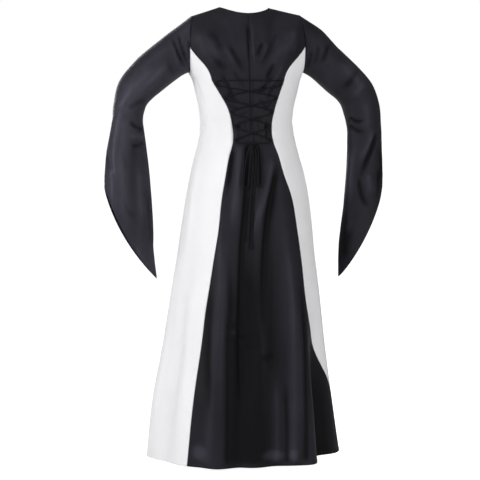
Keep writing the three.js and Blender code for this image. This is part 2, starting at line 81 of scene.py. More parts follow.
@dataclass(frozen=True)
class Table:
    """Rows of named columns that are read smoothly between the rows."""

    names: tuple[str, ...]
    rows: tuple[tuple[float, ...], ...]

    def column(self, name: str) -> np.ndarray:
        """All values of one column, from the first row to the last."""
        return np.array([row[self.names.index(name)] for row in self.rows])

    def read(self, name: str, place: np.ndarray, along: str = "z") -> np.ndarray:
        """Read one column at places along another column.

        Args:
            name: the column that is read.
            place: where it is read, along the other column.
            along: the other column, which rises from row to row.

        Returns:
            The smooth value at each place.
        """
        at, value = self.column(along), self.column(name)
        last = len(at) - 1
        row = np.clip(np.searchsorted(at[1:last], place, side="left"), 0, last - 1)
        before, after = np.maximum(np.arange(last + 1) - 1, 0), np.minimum(np.arange(last + 1) + 1, last)
        slope = (value[after] - value[before]) / (at[after] - at[before])
        step = at[row + 1] - at[row]
        t = np.clip((place - at[row]) / step, 0, 1)
        rise = value[row + 1] - value[row]
        bend = (slope[row] * step - rise) * (1 - t) - (slope[row + 1] * step - rise) * t
        return value[row] + rise * t + bend * t * (1 - t)


# Level rings of bodice and skirt: half width, depth behind and before the middle, and sway to the left
RINGS = Table(
    ("z", "width", "back", "front", "sway"),
    (
        (-1420, 309, 238, 236, -3),
        (-1240, 288, 226, 222, 0),
        (-1080, 264, 207, 203, -2),
        (-930, 244, 190, 184, -5),
        (-800, 224, 172, 164, -7),
        (-700, 211, 156, 148, -8),
        (-600, 197, 139, 131, -10),
        (-520, 182, 122, 118, -10),
        (-467, 169, 110, 108, -10),
        (-415, 156, 97, 100, -10),
        (-366, 149, 89, 96, -9),
        (-315, 153, 89, 104, -8),
        (-265, 165, 92, 118, -9),
        (-230, 173, 94, 116, -9),
    ),
)

# Seams in degrees round from the middle of the back, on the left and on the right
SEAMS = Table(
    ("z", "turn", "back_left", "front_left", "back_right", "front_right"),
    (
        (-1420, -20, 46, 110, 88, 150),
        (-1240, -16, 44, 117, 79, 146),
        (-1135, -13, 43, 122, 65, 142),
        (-1030, -10, 41.5, 128, 51, 138),
        (-930, -8, 40.5, 133, 42, 137),
        (-800, -6, 37.5, 138, 42, 137),
        (-700, -4, 34, 142, 41, 138),
        (-600, -2, 33, 145, 38, 142),
        (-520, -1, 30, 148, 31.5, 147),
        (-467, 0, 28, 150, 28.5, 150),
        (-415, 0, 24.5, 154, 24, 154),
        (-366, 0, 26, 153, 25, 154),
        (-315, 0, 30.5, 148, 29.5, 149),
        (-265, 0, 40, 137, 33.5, 141),
        (-230, 0, 47, 130, 37, 137),
    ),
)

# Folds of the skirt: degrees at hem and waist, depth, half spread, where each begins and how far it grows
FOLDS = (
    (13, 3, -12, 6, -430, 250),
    (26, 31, 16, 7, -520, 600),
    (66, 62, -12, 9, -700, 600),
    (92, 90, 10, 10, -760, 600),
    (-8, -18, -12, 7, -450, 350),
    (-29, -37, 28, 9, -640, 700),
    (-53, -56, -50, 12, -850, 480),
    (-112, -105, -16, 10, -700, 600),
    (-134, -128, 14, 9, -760, 600),
    (124, 140, -14, 8, -640, 600),
    (141, 152, 18, 8, -560, 700),
    (160, 168, -15, 8, -600, 600),
    (180, 181, 16, 8, -620, 650),
    (198, 196, -14, 8, -680, 600),
)

SLEEVE_NAMES = ("ring", "out_x", "out_z", "in_x", "in_z", "depth", "middle")
SLEEVE_LEFT = Table(
    SLEEVE_NAMES,
    (
        (0, 167, -28, 172, -203, 57, 0),
        (1, 236, -79, 203, -216, 62, 0),
        (2, 294, -124, 259, -259, 60, 0),
        (3, 349, -171, 306, -299, 57, -2),
        (4, 396, -232, 319, -328, 52, -5),
        (5, 413, -300, 322, -356, 47, -8),
        (6, 418, -359, 318, -386, 43, -10),
        (7, 435, -440, 307, -462, 42, -12),
        (8, 442, -510, 299, -545, 42, -15),
        (9, 443, -537, 292, -625, 40, -17),
        (10, 443, -552, 289, -700, 39, -18),
        (11, 443, -562, 288, -770, 38, -19),
        (12, 442, -570, 278, -854, 37, -20),
    ),
)
SLEEVE_RIGHT = Table(
    SLEEVE_NAMES,
    (
        (0, 178, -21, 190, -201, 57, 0),
        (1, 250, -66, 222, -219, 62, 0),
        (2, 304, -120, 272, -260, 60, 0),
        (3, 362, -172, 318, -299, 57, -2),
        (4, 422, -234, 334, -338, 52, -5),
        (5, 450, -303, 342, -366, 47, -8),
        (6, 457, -367, 346, -393, 43, -10),
        (7, 463, -451, 346, -470, 42, -12),
        (8, 466, -520, 341, -560, 42, -15),
        (9, 466, -548, 335, -640, 40, -17),
        (10, 466, -564, 326, -710, 39, -18),
        (11, 465, -576, 319, -784, 38, -19),
        (12, 464, -585, 320, -861, 37, -20),
    ),
)


def smooth_step(value: np.ndarray, low: float, high: float) -> np.ndarray:
    """Rise smoothly from 0 at low to 1 at high."""
    t = np.clip((value - low) / (high - low), 0, 1)
    return t * t * (3 - 2 * t)


def unit(vectors: np.ndarray) -> np.ndarray:
    """The same directions with length 1."""
    return vectors / np.maximum(np.linalg.norm(vectors, axis=-1, keepdims=True), 1e-9)


def soft_noise(points: np.ndarray, grain: tuple[float, float, float], seed: int) -> np.ndarray:
    """Smooth unevenness between about -1 and 1.

    Args:
        points: places in mm.
        grain: size of one swell along X, Y and Z, in mm.
        seed: which of the possible unevennesses it is.

    Returns:
        One value for each place.
    """
    size = 32
    lattice = np.random.default_rng(seed).uniform(-1, 1, (size, size, size))
    place = points / np.array(grain) + 1000.0
    cell = np.floor(place).astype(int)
    t = place - cell
    t = t * t * (3 - 2 * t)
    total = np.zeros(points.shape[:-1])
    for corner in range(8):
        offset = np.array([corner & 1, corner >> 1 & 1, corner >> 2 & 1])
        share = np.prod(np.where(offset == 1, t, 1 - t), axis=-1)
        index = (cell + offset) % size
        total += share * lattice[index[..., 0], index[..., 1], index[..., 2]]
    return total


def run_along(points: np.ndarray, axis: int = 0) -> np.ndarray:
    """How far each point lies from the start of its route, or of its line of a grid along one axis."""
    first = np.take(points, [0], axis=axis)
    return np.cumsum(np.linalg.norm(np.diff(points, axis=axis, prepend=first), axis=-1), axis=axis)


def from_centre(across: np.ndarray) -> np.ndarray:
    """Distances across a grid, counted from its middle column."""
    return across - across[:, across.shape[1] // 2][:, None]


@dataclass(frozen=True)
class Crease:
    """One crease in the cloth: a trough where depth is negative, or a ridge.

    The path gives (across, height) in mm as seen square on. Start and end are the shares of its length over
    which it rises out of the cloth and dies away.
    """

    path: tuple[tuple[float, float], ...]
    depth: float
    spread: float
    facing: Facing
    start: float = 0.3
    end: float = 0.4

    def route(self) -> np.ndarray:
        """The path, made round between its points."""
        points = np.array(self.path, float)
        lengths = run_along(points)
        places = np.linspace(0, lengths[-1], 5 * len(points))
        table = Table(("s", "a", "b"), tuple((s, *p) for s, p in zip(lengths, points)))
        return np.stack([table.read("a", places, "s"), table.read("b", places, "s")], axis=1)

    def push(self, points: np.ndarray, normals: np.ndarray) -> np.ndarray:
        """How far the crease moves each point along its normal.

        Args:
            points: places on the cloth, in mm.
            normals: the way out of the cloth at each place.

        Returns:
            The move of each point, in mm.
        """
        along, normal_axis, sign = self.facing.value
        places = points[..., (along, 2)]
        route = self.route()
        reach = 3 * self.spread
        low, high = route.min(axis=0) - reach, route.max(axis=0) + reach
        turned = normals[..., normal_axis] * sign
        near = np.all((places > low) & (places < high), axis=-1) & (turned > 0)
        move = np.zeros(points.shape[:-1])
        if not near.any():
            return move
        chosen = places[near]
        best = np.full(len(chosen), 1e9)
        share = np.zeros(len(chosen))
        for index, (a, b) in enumerate(zip(route[:-1], route[1:])):
            side = b - a
            t = np.clip(((chosen - a) @ side) / max(side @ side, 1e-9), 0, 1)
            gap = np.linalg.norm(chosen - a - t[:, None] * side, axis=1)
            closer = gap < best
            best = np.where(closer, gap, best)
            share = np.where(closer, (index + t) / (len(route) - 1), share)
        fade = smooth_step(share, 0, self.start) * smooth_step(1 - share, 0, self.end)
        facing = smooth_step(turned[near], 0.05, 0.45)
        move[near] = self.depth * np.exp(-((best / self.spread) ** 2)) * fade * facing
        return move


def creases(facing: Facing, rows: tuple[tuple, ...]) -> tuple[Crease, ...]:
    """Creases that face one way.

    Args:
        facing: the way that their cloth looks.
        rows: path, depth and spread of each, with its start and end where they aren't the usual ones.

    Returns:
        One crease for each row.
    """
    return tuple(Crease(path, depth, spread, facing, *fades) for path, depth, spread, *fades in rows)


# Creases of bodice and skirt that show on the back
BACK_CREASES = creases(Facing.BACK, (
    # Drag lines from the waist up to the shoulder blades
    (((70, -112), (52, -146), (34, -180), (22, -215)), -4.9, 8),
    (((84, -118), (66, -150), (48, -186)), 3.4, 10),
    (((93, -196), (77, -229), (58, -268), (44, -300)), -4.6, 7),
    (((110, -160), (83, -186), (58, -200)), -3, 8),
    (((75, -262), (56, -285), (30, -298)), -3, 6),
    (((-44, -106), (-31, -135), (-20, -162)), -4.9, 7),
    (((-60, -110), (-46, -140), (-34, -170)), 3, 9),
    (((-82, -172), (-64, -204), (-48, -236)), -4.6, 7),
    (((-60, -243), (-38, -259), (-12, -266)), -3, 6),
    (((-90, -232), (-70, -262), (-52, -300)), -2.8, 7),
    (((-24, -286), (-44, -302), (-60, -330)), -2.5, 6),
    (((150, -70), (143, -125), (122, -178)), 4.2, 20),
    (((116, -62), (108, -110), (92, -150)), -3, 14),
    (((-126, -70), (-118, -120), (-100, -160)), 2.8, 18),
    (((0, -320), (26, -334), (52, -330)), -2.3, 5),
    (((-8, -338), (-30, -350), (-50, -346)), -2.3, 5),
    (((108, -83), (98, -112), (83, -140)), -2.6, 7),
    (((131, -131), (96, -186), (57, -236)), -3, 7),
    (((61, -195), (38, -226), (13, -258)), -3, 6),
    (((99, -182), (68, -232), (35, -278)), 2.4, 8),
    (((-92, -77), (-64, -134), (-29, -195)), -2.8, 7),
    (((-115, -172), (-86, -222), (-51, -268)), 2.4, 8),
    (((-83, -204), (-52, -242), (-19, -278)), -2.8, 6),
    (((-148, -62), (-146, -106), (-136, -150)), 3.4, 15),
    # Soft crests over the shoulder blades
    (((114, -87), (113, -143), (95, -186)), 4, 16),
    (((-99, -91), (-84, -154), (-57, -204)), 3, 16),
    # The seam down the middle, pulled in, with a soft ridge beside it
    (((2, -44), (4, -110), (3, -176)), -2, 5, 0.25, 0.3),
    (((-10, -48), (-9, -110), (-9, -168)), 3, 5, 0.2, 0.3),
    (((3, -40), (4, -160), (-1, -275), (-4, -410)), -2.8, 3.5, 0.1, 0.1),
    (((-9, -50), (-9, -167), (-12, -275), (-14, -380)), 2.3, 6, 0.2, 0.3),
    # Gathers beside the lacing at the waist
    (((54, -338), (53, -385), (55, -438)), -3.4, 4.5),
    (((44, -348), (42, -380), (45, -428)), 2.3, 4.5),
    (((38, -352), (36, -380), (38, -420)), -2.7, 3.8),
    (((-54, -346), (-53, -385), (-56, -430)), -3.8, 4.5),
    (((-64, -352), (-64, -380), (-68, -416)), -2.7, 4),
    (((-44, -350), (-43, -382), (-46, -426)), 1.9, 4.5),
    (((14, -352), (16, -372), (13, -392)), -1.7, 3.5),
    (((-28, -352), (-27, -372), (-30, -390)), -1.7, 3.5),
    (((70, -300), (52, -312), (30, -322)), -2.6, 5),
    (((66, -318), (46, -332), (22, -338)), 2.2, 5),
    (((-76, -296), (-58, -312), (-38, -320)), -2.6, 5),
    (((-70, -322), (-52, -334), (-30, -342)), 2.2, 5),
    (((56, -364), (38, -372), (18, -370)), -2, 4.5),
    (((-58, -366), (-42, -376), (-24, -374)), -2, 4.5),
    (((50, -402), (34, -408), (16, -404)), -2, 4.5),
    (((-54, -400), (-40, -408), (-24, -406)), -2, 4.5),
    # Long folds that fall from the waist
    (((55, -428), (62, -476), (76, -552), (84, -600)), -6.8, 7, 0.2, 0.4),
    (((66, -436), (78, -500), (93, -590)), 3.4, 8),
    (((32, -414), (42, -522), (60, -640), (70, -720)), 6.5, 11, 0.15, 0.4),
    (((8, -405), (17, -538), (29, -645), (41, -740), (49, -905), (52, -1088), (48, -1300)),
     -6.8, 10, 0.05, 0.2),
    (((-14, -420), (-8, -520), (0, -600), (8, -680)), 4.6, 8),
    (((-30, -430), (-24, -520), (-14, -600)), -3.8, 7),
    (((-72, -464), (-53, -545), (-33, -605), (-8, -670), (6, -730)), 7.2, 12, 0.15, 0.4),
    (((-88, -470), (-58, -591), (-33, -741), (-22, -913), (-20, -1050)), -7.6, 13, 0.12, 0.4),
    (((12, -960), (16, -1100), (12, -1240)), -3.8, 14),
    (((146, -1180), (158, -1300), (162, -1415)), 2.2, 12, 0.3, 0.05),
    (((-84, -1150), (-88, -1280), (-86, -1415)), -3.8, 8, 0.3, 0.05),
    # The broad hollow down the middle of the skirt, and the crests and hollows beside it
    (((20, -645), (30, -783), (36, -920), (38, -1042), (36, -1195), (32, -1415)), -9, 44, 0.6, 0.04),
    (((69, -706), (81, -788), (82, -919), (91, -1011), (95, -1194), (102, -1415)), -4, 9, 0.3, 0.04),
    (((94, -598), (102, -659), (108, -751), (108, -858), (115, -994), (122, -1147), (125, -1300)), 3, 11),
    (((132, -811), (150, -993), (158, -1191), (153, -1298)), -4.5, 8),
    (((-102, -656), (-110, -786), (-116, -909), (-111, -1063), (-108, -1217), (-104, -1415)),
     4.6, 14, 0.3, 0.04),
    (((-144, -811), (-149, -879), (-155, -1003), (-154, -1157), (-146, -1415)), -6, 10, 0.3, 0.04),
    (((-58, -1138), (-56, -1246), (-53, -1415)), 4, 9, 0.3, 0.04),
    # Small cross wrinkles at the knee
    (((104, -990), (68, -983), (28, -998)), -2.8, 8),
    (((110, -1019), (57, -1030), (4, -1014)), -3.2, 9),
    (((60, -1046), (19, -1058), (-20, -1040)), -3, 8),
    (((96, -1004), (54, -1007), (8, -1004)), 1.9, 8),
    (((0, -1078), (-30, -1086), (-60, -1072)), -2.3, 9),
))

# The front, which the light reaches as it does the back, with like creases in other places
FRONT_CREASES = creases(Facing.FRONT, (
    (((72, -236), (60, -280), (50, -330)), -4.2, 9),
    (((-78, -240), (-64, -286), (-54, -336)), -4.2, 9),
    (((96, -226), (84, -270), (66, -322)), 3, 11),
    (((-100, -228), (-88, -274), (-70, -326)), 3, 11),
    (((124, -120), (104, -150), (80, -176)), -3.8, 9),
    (((-128, -112), (-108, -146), (-86, -170)), -3.8, 9),
    (((34, -196), (-6, -206), (-48, -198)), -2.3, 10),
    (((60, -350), (20, -366), (-22, -360)), -2.5, 7),
    (((26, -392), (-16, -400), (-58, -388)), -2.3, 7),
    (((48, -410), (56, -540), (68, -700), (74, -820)), -6.1, 10),
    (((22, -400), (24, -560), (20, -760), (16, -900)), 5.3, 12),
    (((-4, -420), (-10, -600), (-20, -820), (-24, -1020)), -6.5, 10),
    (((-40, -412), (-54, -560), (-76, -740)), 5.3, 11),
    (((-72, -430), (-92, -600), (-112, -800)), -5.7, 10),
    (((96, -480), (118, -700), (136, -940)), 4.6, 15),
    (((52, -900), (62, -1120), (64, -1415)), 4.9, 16, 0.3, 0.05),
    (((-66, -960), (-80, -1180), (-84, -1415)), -4.9, 13, 0.3, 0.05),
    (((-120, -880), (-140, -1120), (-150, -1415)), 4.6, 16, 0.3, 0.05),
    (((118, -1060), (130, -1240), (134, -1415)), -4.6, 12, 0.3, 0.05),
    (((62, -1010), (18, -1024), (-34, -1012)), -2.8, 9),
    (((40, -1046), (-8, -1056), (-50, -1044)), -2.5, 9),
))

# The white sides: across is now the distance behind (+) or before (-) the middle of the body
SIDE_CREASES = creases(Facing.LEFT, (
    (((18, -220), (26, -262), (30, -306)), -2.7, 8),
    (((-24, -226), (-20, -280), (-10, -330)), -2.7, 9),
    (((36, -352), (8, -366), (-26, -360)), -2.3, 7),
    (((30, -388), (-2, -396), (-40, -384)), -1.9, 7),
    (((30, -430), (44, -600), (62, -820)), 3.8, 14),
    (((0, -450), (2, -680), (-4, -900)), -3.8, 12),
    (((-36, -440), (-52, -640), (-70, -880)), 3.4, 14),
    (((76, -820), (96, -1100), (106, -1400)), -3.4, 14),
    (((24, -900), (30, -1160), (26, -1400)), 3.4, 16),
)) + creases(Facing.RIGHT, (
    (((20, -222), (26, -266), (28, -310)), -2.7, 8),
    (((-20, -228), (-14, -286), (-4, -332)), -2.7, 9),
    (((30, -348), (2, -364), (-32, -356)), -2.3, 7),
    (((24, -392), (-8, -398), (-40, -388)), -1.9, 7),
    (((26, -430), (38, -610), (54, -830)), 3.4, 14),
    (((-6, -450), (-10, -690), (-20, -920)), -3.8, 12),
    (((-40, -440), (-60, -660), (-86, -900)), 3.4, 14),
    (((-20, -960), (-30, -1180), (-36, -1400)), -3, 14),
))

# Sleeves: puckers at the cap, drag lines to the elbow, and long folds down to the cuff
SLEEVE_CREASES = creases(Facing.BACK, (
    (((238, -92), (222, -148), (194, -200)), -6.5, 6, 0.2, 0.4),
    (((222, -78), (205, -140), (184, -192)), -5.6, 5, 0.2, 0.4),
    (((192, -92), (180, -140), (173, -182)), -4.2, 5),
    (((240, -112), (226, -160), (206, -204)), 3.4, 7),
    (((262, -150), (246, -186), (226, -214)), -2.7, 8),
    (((410, -340), (378, -290), (338, -252), (292, -214), (246, -180)), 8, 23, 0.15, 0.35),
    (((384, -322), (346, -300), (312, -282)), -4.6, 9),
    (((324, -382), (346, -376), (376, -352)), -6.1, 6, 0.1, 0.4),
    (((322, -398), (346, -404), (378, -398)), 3.4, 7, 0.1, 0.4),
    (((322, -420), (344, -432), (370, -430)), -4.9, 6, 0.1, 0.4),
    (((404, -318), (410, -420), (414, -500), (406, -580), (384, -672)), 8, 27, 0.12, 0.3),
    (((352, -400), (358, -500), (362, -590), (358, -680), (348, -740)), -3, 15, 0.15, 0.3),
    (((346, -740), (334, -800), (310, -846)), 4, 14),
    (((396, -440), (384, -486), (372, -520)), -2.6, 8),
    (((430, -452), (424, -500), (404, -548)), -2.4, 8),
    (((392, -600), (372, -640), (344, -662)), -2.6, 9),
    (((-446, -420), (-454, -500), (-446, -580)), -5, 12),
    (((-352, -690), (-338, -760), (-330, -830)), -4.5, 13),
    (((-300, -160), (-350, -210), (-404, -262)), 4, 17),
    (((-392, -290), (-396, -340), (-392, -400)), 3.5, 18),
    (((341, -480), (336, -601), (322, -700)), 3.4, 10),
    (((432, -420), (436, -480), (432, -530)), -4.2, 8),
    (((312, -560), (304, -680), (294, -780)), -3.8, 8),
    (((-207, -128), (-203, -164), (-196, -198)), -4.2, 6),
    (((-230, -110), (-223, -151), (-212, -190)), -3.8, 6),
    (((-270, -104), (-250, -150), (-228, -186)), -4.2, 8),
    (((-366, -188), (-336, -232), (-300, -262)), -4.9, 9),
    (((-396, -232), (-362, -262), (-330, -290)), 3.4, 12),
    (((-342, -346), (-366, -360), (-398, -352)), -4.9, 6, 0.1, 0.4),
    (((-344, -372), (-368, -388), (-396, -394)), -4.6, 6, 0.1, 0.4),
    (((-440, -380), (-417, -444), (-390, -508), (-376, -548)), -8, 8),
    (((-424, -376), (-400, -438), (-374, -500)), 4.9, 9),
    (((-374, -530), (-380, -578), (-397, -620), (-430, -636)), -6.1, 7),
    (((-404, -520), (-412, -570), (-424, -600)), 4.6, 12),
    (((-358, -430), (-350, -546), (-352, -640)), 4.2, 12),
    (((-440, -500), (-446, -560), (-440, -620)), -3.8, 8),
    (((-340, -640), (-332, -720), (-326, -800)), -3.4, 7),
)) + creases(Facing.FRONT, (
    # The same kinds of folds on the front of both sleeves
    (((226, -112), (212, -158), (196, -196)), -4.6, 7),
    (((250, -130), (236, -174), (220, -208)), -3.4, 8),
    (((384, -300), (350, -276), (316, -262)), -4.6, 9),
    (((322, -386), (350, -386), (386, -366)), -5.3, 6, 0.1, 0.4),
    (((322, -416), (346, -424), (372, -418)), -4.2, 6, 0.1, 0.4),
    (((398, -396), (404, -500), (396, -600), (376, -690)), 4.9, 15),
    (((360, -440), (360, -560), (348, -690)), -5.7, 10),
    (((-236, -110), (-222, -156), (-206, -196)), -4.6, 7),
    (((-262, -130), (-248, -172), (-230, -208)), -3.4, 8),
    (((-410, -304), (-374, -284), (-340, -276)), -4.6, 9),
    (((-346, -392), (-376, -394), (-412, -376)), -5.3, 6, 0.1, 0.4),
    (((-422, -400), (-420, -500), (-404, -620)), 4.9, 14),
    (((-380, -440), (-384, -560), (-376, -700)), -5.7, 10),
))
BODY_CREASES = BACK_CREASES + FRONT_CREASES + SIDE_CREASES

# Patches above the hem where the black cloth is see-through and the light that shows through it is painted
# in: middle, half width and half height, in mm
SEE_THROUGH_LIGHT_PATCHES = (
    (183, -1374, 20, 24, Facing.BACK),
    (-44, -1386, 30, 17, Facing.BACK),
    (-106, -1388, 15, 20, Facing.BACK),
    (70, -1384, 26, 18, Facing.FRONT),
    (-92, -1380, 22, 20, Facing.FRONT),
)

# Cords that hang free from the knot over the skirt, in mm: across, back and up
HANGING = {
    "lace_end_left": [
        (-7.4, 105.9, -433.5), (-7, 107.5, -443), (-6.5, 109.5, -452), (-5.3, 112.5, -466),
        (-4, 115.5, -481), (-2, 117.5, -496), (0, 120, -511), (2, 123, -528),
        (4, 125.5, -545), (6.5, 128, -562), (9, 130.5, -580), (11.5, 134, -600),
        (14, 137, -620), (16.5, 140, -640), (19, 143.5, -660), (21, 146, -676),
        (23, 148.5, -692), (24.3, 150.5, -704), (25, 152, -713),
    ],
    "lace_end_right": [
        (-13.2, 105.9, -433.5), (-13.2, 107.5, -443), (-13, 109.5, -452), (-12.3, 112.5, -466),
        (-11.3, 115.5, -481), (-10, 118.5, -496), (-8.5, 121.5, -511), (-6.7, 124, -528),
        (-5, 126.5, -545), (-3, 129, -562), (-1, 131.5, -580), (1.3, 133.5, -600),
        (3.5, 136, -620), (5.5, 139, -640), (7.5, 141.5, -660), (9.3, 144.5, -680),
        (11, 147.5, -700), (12.3, 151, -720), (13, 154.8, -738),
    ],
    "bow_left": [
        (-3.3, 110.8, -431.9), (-1.6, 111, -438), (1, 111, -447), (4, 111.5, -458),
        (6.3, 114.5, -478), (9, 118, -500), (12, 122, -522), (14.6, 126, -542),
        (16, 127.5, -553), (18.5, 129.5, -560), (23, 130, -563), (27.5, 130, -560),
        (30, 128.5, -552.5), (29.6, 126, -540), (27, 122, -520), (23.2, 117.5, -497),
        (18.5, 113, -474), (14, 109.5, -456), (9.8, 107.8, -443), (5, 106.8, -434.5),
        (-0.5, 106.3, -430.1),
    ],
    "bow_right": [
        (-16.8, 110.9, -431.5), (-18.2, 111, -438), (-20, 111, -447), (-20.8, 112, -458),
        (-19.8, 115.5, -478), (-17.8, 120, -500), (-15.6, 124, -522), (-13.8, 127.5, -540),
        (-13.4, 129, -549), (-15.4, 130.5, -556), (-20, 132, -559.3), (-24.6, 132, -556.5),
        (-27.2, 130.5, -549), (-28.3, 127.5, -536), (-29, 123.5, -516), (-29.3, 118.5, -494),
        (-29, 114, -472), (-28, 110, -456), (-26.6, 107.8, -444), (-23.6, 106.8, -435.5),
        (-18.9, 106.3, -430.1),
    ],
}


@dataclass(frozen=True)
class Armhole:
    """Size of one armhole, in mm: shoulder tip, lowest point and how far its middle stands out and back."""

    hand: Hand
    tip_x: float
    tip_z: float
    under_x: float
    under_z: float
    stand: float
    back: float = 54
    front: float = 60

    def point(self, degrees: np.ndarray) -> np.ndarray:
        """Places round the armhole, from the shoulder tip (0) by the back (90) to the underarm (180)."""
        angle = np.radians(degrees)
        down = (1 - np.cos(angle)) / 2
        x = self.tip_x + (self.under_x - self.tip_x) * down + self.stand * np.abs(np.sin(angle))
        y = np.where(np.mod(degrees, 360) < 180, self.back, self.front) * np.sin(angle)
        return np.stack([self.hand.value * x, y, self.tip_z + (self.under_z - self.tip_z) * down], axis=-1)


ARMHOLES = {
    Hand.LEFT: Armhole(Hand.LEFT, 167, -28, 172, -203, 14),
    Hand.RIGHT: Armhole(Hand.RIGHT, 178, -21, 190, -201, 2),
}

# Columns of the body's surface, from the middle of the back (0) to the middle of the front
NECK_POINT = 1
SHOULDER_TIP = 2
BACK_SEAM = 3
UNDERARM = 4
FRONT_SEAM = 5
FRONT_MIDDLE = 8

ARMHOLE_COLUMNS = (SHOULDER_TIP, BACK_SEAM, UNDERARM, FRONT_SEAM, FRONT_MIDDLE - SHOULDER_TIP)
ARMHOLE_DEGREES = (0, SEAM_ON_ARMHOLE, 180, 360 - SEAM_ON_ARMHOLE, 360)


# Direction in which the cloth reaches its top edge, at the columns from the middle to the underarm
ARRIVAL_OUT = (0, 0, 0, 0.5, 0.05)
ARRIVAL_BACK = (-0.35, -0.8, -0.97, -0.15, 0)
ARRIVAL_UP = (0.94, 0.6, 0.24, 0.85, 1)


def from_middle(column: np.ndarray) -> np.ndarray:
    """Columns counted from the middle of the back, or beyond the underarm from the middle of the front."""
    return np.where(column > UNDERARM, FRONT_MIDDLE - column, column)


@dataclass(frozen=True)
class BodyForm:
    """The surface of bodice and skirt on one side of the body.

    A column runs from hem to top edge. A row is numbered 0 at the hem, 1 at the yoke and 2 at the top edge.
    yoke_reach is how far the curve above the yoke is steered, as a share of its straight length.
    """

    hand: Hand
    yoke_reach: float = 1.15

    def fold_depth(self, degrees: np.ndarray, z: np.ndarray) -> np.ndarray:
        """How far the skirt's folds stand out (+) or in (-) from the plain ring."""
        down = np.clip((HIP - z) / (HIP - HEM), 0, 1)
        total = np.zeros_like(degrees)
        for hem, waist, depth, spread, begin, growth in FOLDS:
            away = np.mod(degrees - waist - (hem - waist) * down + 180, 360) - 180
            grown = smooth_step(begin - z, 0, growth)
            total += depth * grown * np.exp(-((away / spread) ** 2))
        return total

    def ring_point(self, degrees: np.ndarray, z: np.ndarray) -> np.ndarray:
        """Places on the level ring at height z, in degrees round from the middle of the back."""
        angle = np.radians(degrees)
        across = RINGS.read("width", z) * np.sin(angle)
        depth = np.where(np.cos(angle) > 0, RINGS.read("back", z), RINGS.read("front", z))
        behind = depth * np.cos(angle)
        stretch = 1 + self.fold_depth(degrees, z) / np.hypot(across, behind)
        return np.stack([RINGS.read("sway", z) + across * stretch, behind * stretch, z], axis=-1)

    def degrees(self, column: np.ndarray, z: np.ndarray) -> np.ndarray:
        """The way round of a column at height z."""
        turn = self.hand.value * SEAMS.read("turn", z)
        back = SEAMS.read("back_" + self.hand.word, z)
        front = SEAMS.read("front_" + self.hand.word, z)
        on_back = turn + (back - turn) * column / BACK_SEAM
        on_side = back + (front - back) * (column - BACK_SEAM) / (FRONT_SEAM - BACK_SEAM)
        on_front = front + (180 + turn - front) * (column - FRONT_SEAM) / (FRONT_MIDDLE - FRONT_SEAM)
        on_body = np.where(column < BACK_SEAM, on_back, np.where(column < FRONT_SEAM, on_side, on_front))
        return self.hand.value * on_body

    def top_point(self, column: np.ndarray) -> np.ndarray:
        """Places on the top edge: neckline, shoulder and armhole."""
        hole = ARMHOLES[self.hand]
        sign = self.hand.value
        fore = column > UNDERARM
        near = from_middle(column)
        armhole = hole.point(np.interp(column, ARMHOLE_COLUMNS, ARMHOLE_DEGREES))
        share = near - NECK_POINT
        shoulder = np.stack(
            [
                sign * (NECK_HALF_WIDTH + (hole.tip_x - NECK_HALF_WIDTH) * share),
                np.zeros_like(share),
                hole.tip_z * share,
            ],
            axis=-1,
        )
        angle = near * math.pi / 2
        depth = np.where(fore, -NECK_FRONT[0], NECK_BACK[0])
        drop = np.where(fore, NECK_FRONT[1], NECK_BACK[1])
        neck = np.stack(
            [
                sign * NECK_HALF_WIDTH * np.sin(angle),
                depth * np.cos(angle),
                -drop * np.cos(angle) ** 2,
            ],
            axis=-1,
        )
        upper = np.where((near >= NECK_POINT)[..., None], shoulder, neck)
        return np.where((near >= SHOULDER_TIP)[..., None], armhole, upper)

    def arrival(self, column: np.ndarray) -> np.ndarray:
        """The direction in which the cloth reaches its top edge."""
        near = np.maximum(from_middle(column), 0)
        known = range(UNDERARM + 1)
        out, back, up = (np.interp(near, known, row) for row in (ARRIVAL_OUT, ARRIVAL_BACK, ARRIVAL_UP))
        back = np.where(column > UNDERARM, -back, back)
        return unit(np.stack([self.hand.value * out, back, up], axis=-1))

    def yoke_point(self, column: np.ndarray, t: np.ndarray) -> np.ndarray:
        """Places between the yoke (t = 0) and the top edge (t = 1)."""
        level = np.full_like(column, YOKE)
        degrees = self.degrees(column, level)
        start, end = self.ring_point(degrees, level), self.top_point(column)
        reach = np.linalg.norm(end - start, axis=-1, keepdims=True) * self.yoke_reach
        rise = unit(start - self.ring_point(degrees, level - 1)) * reach
        land = self.arrival(column) * reach
        t = t[..., None]
        return (
            start * (2 * t**3 - 3 * t**2 + 1)
            + rise * (t**3 - 2 * t**2 + t)
            + end * (3 * t**2 - 2 * t**3)
            + land * (t**3 - t**2)
        )

    def point(self, column: np.ndarray, row: np.ndarray) -> np.ndarray:
        """Places on the surface by column and row, in mm."""
        z = HEM + (YOKE - HEM) * np.minimum(row, 1)
        low = self.ring_point(self.degrees(column, z), z)
        high = self.yoke_point(column, np.maximum(row - 1, 0))
        return np.where((row > 1)[..., None], high, low)

    def slopes(self, column: np.ndarray, row: np.ndarray) -> tuple[np.ndarray, np.ndarray]:
        """How the surface runs along a row and up a column, in mm for one column and one row."""
        across, upward = 0.02, 0.003
        low = np.minimum(row, 2 - upward)
        along = self.point(column + across, row) - self.point(column - across, row)
        rising = self.point(column, low + upward) - self.point(column, low - upward)
        return along / (2 * across), rising / (2 * upward)

    def normal(self, column: np.ndarray, row: np.ndarray) -> np.ndarray:
        """The way out of the surface."""
        along, rising = self.slopes(column, row)
        normals = np.cross(rising, along) * self.hand.value
        near = from_middle(column)
        on_shoulder = (near >= NECK_POINT) * (near <= SHOULDER_TIP)
        normals[..., 1] *= 1 - smooth_step(row, 1.93, 2.0) * on_shoulder
        return unit(normals)


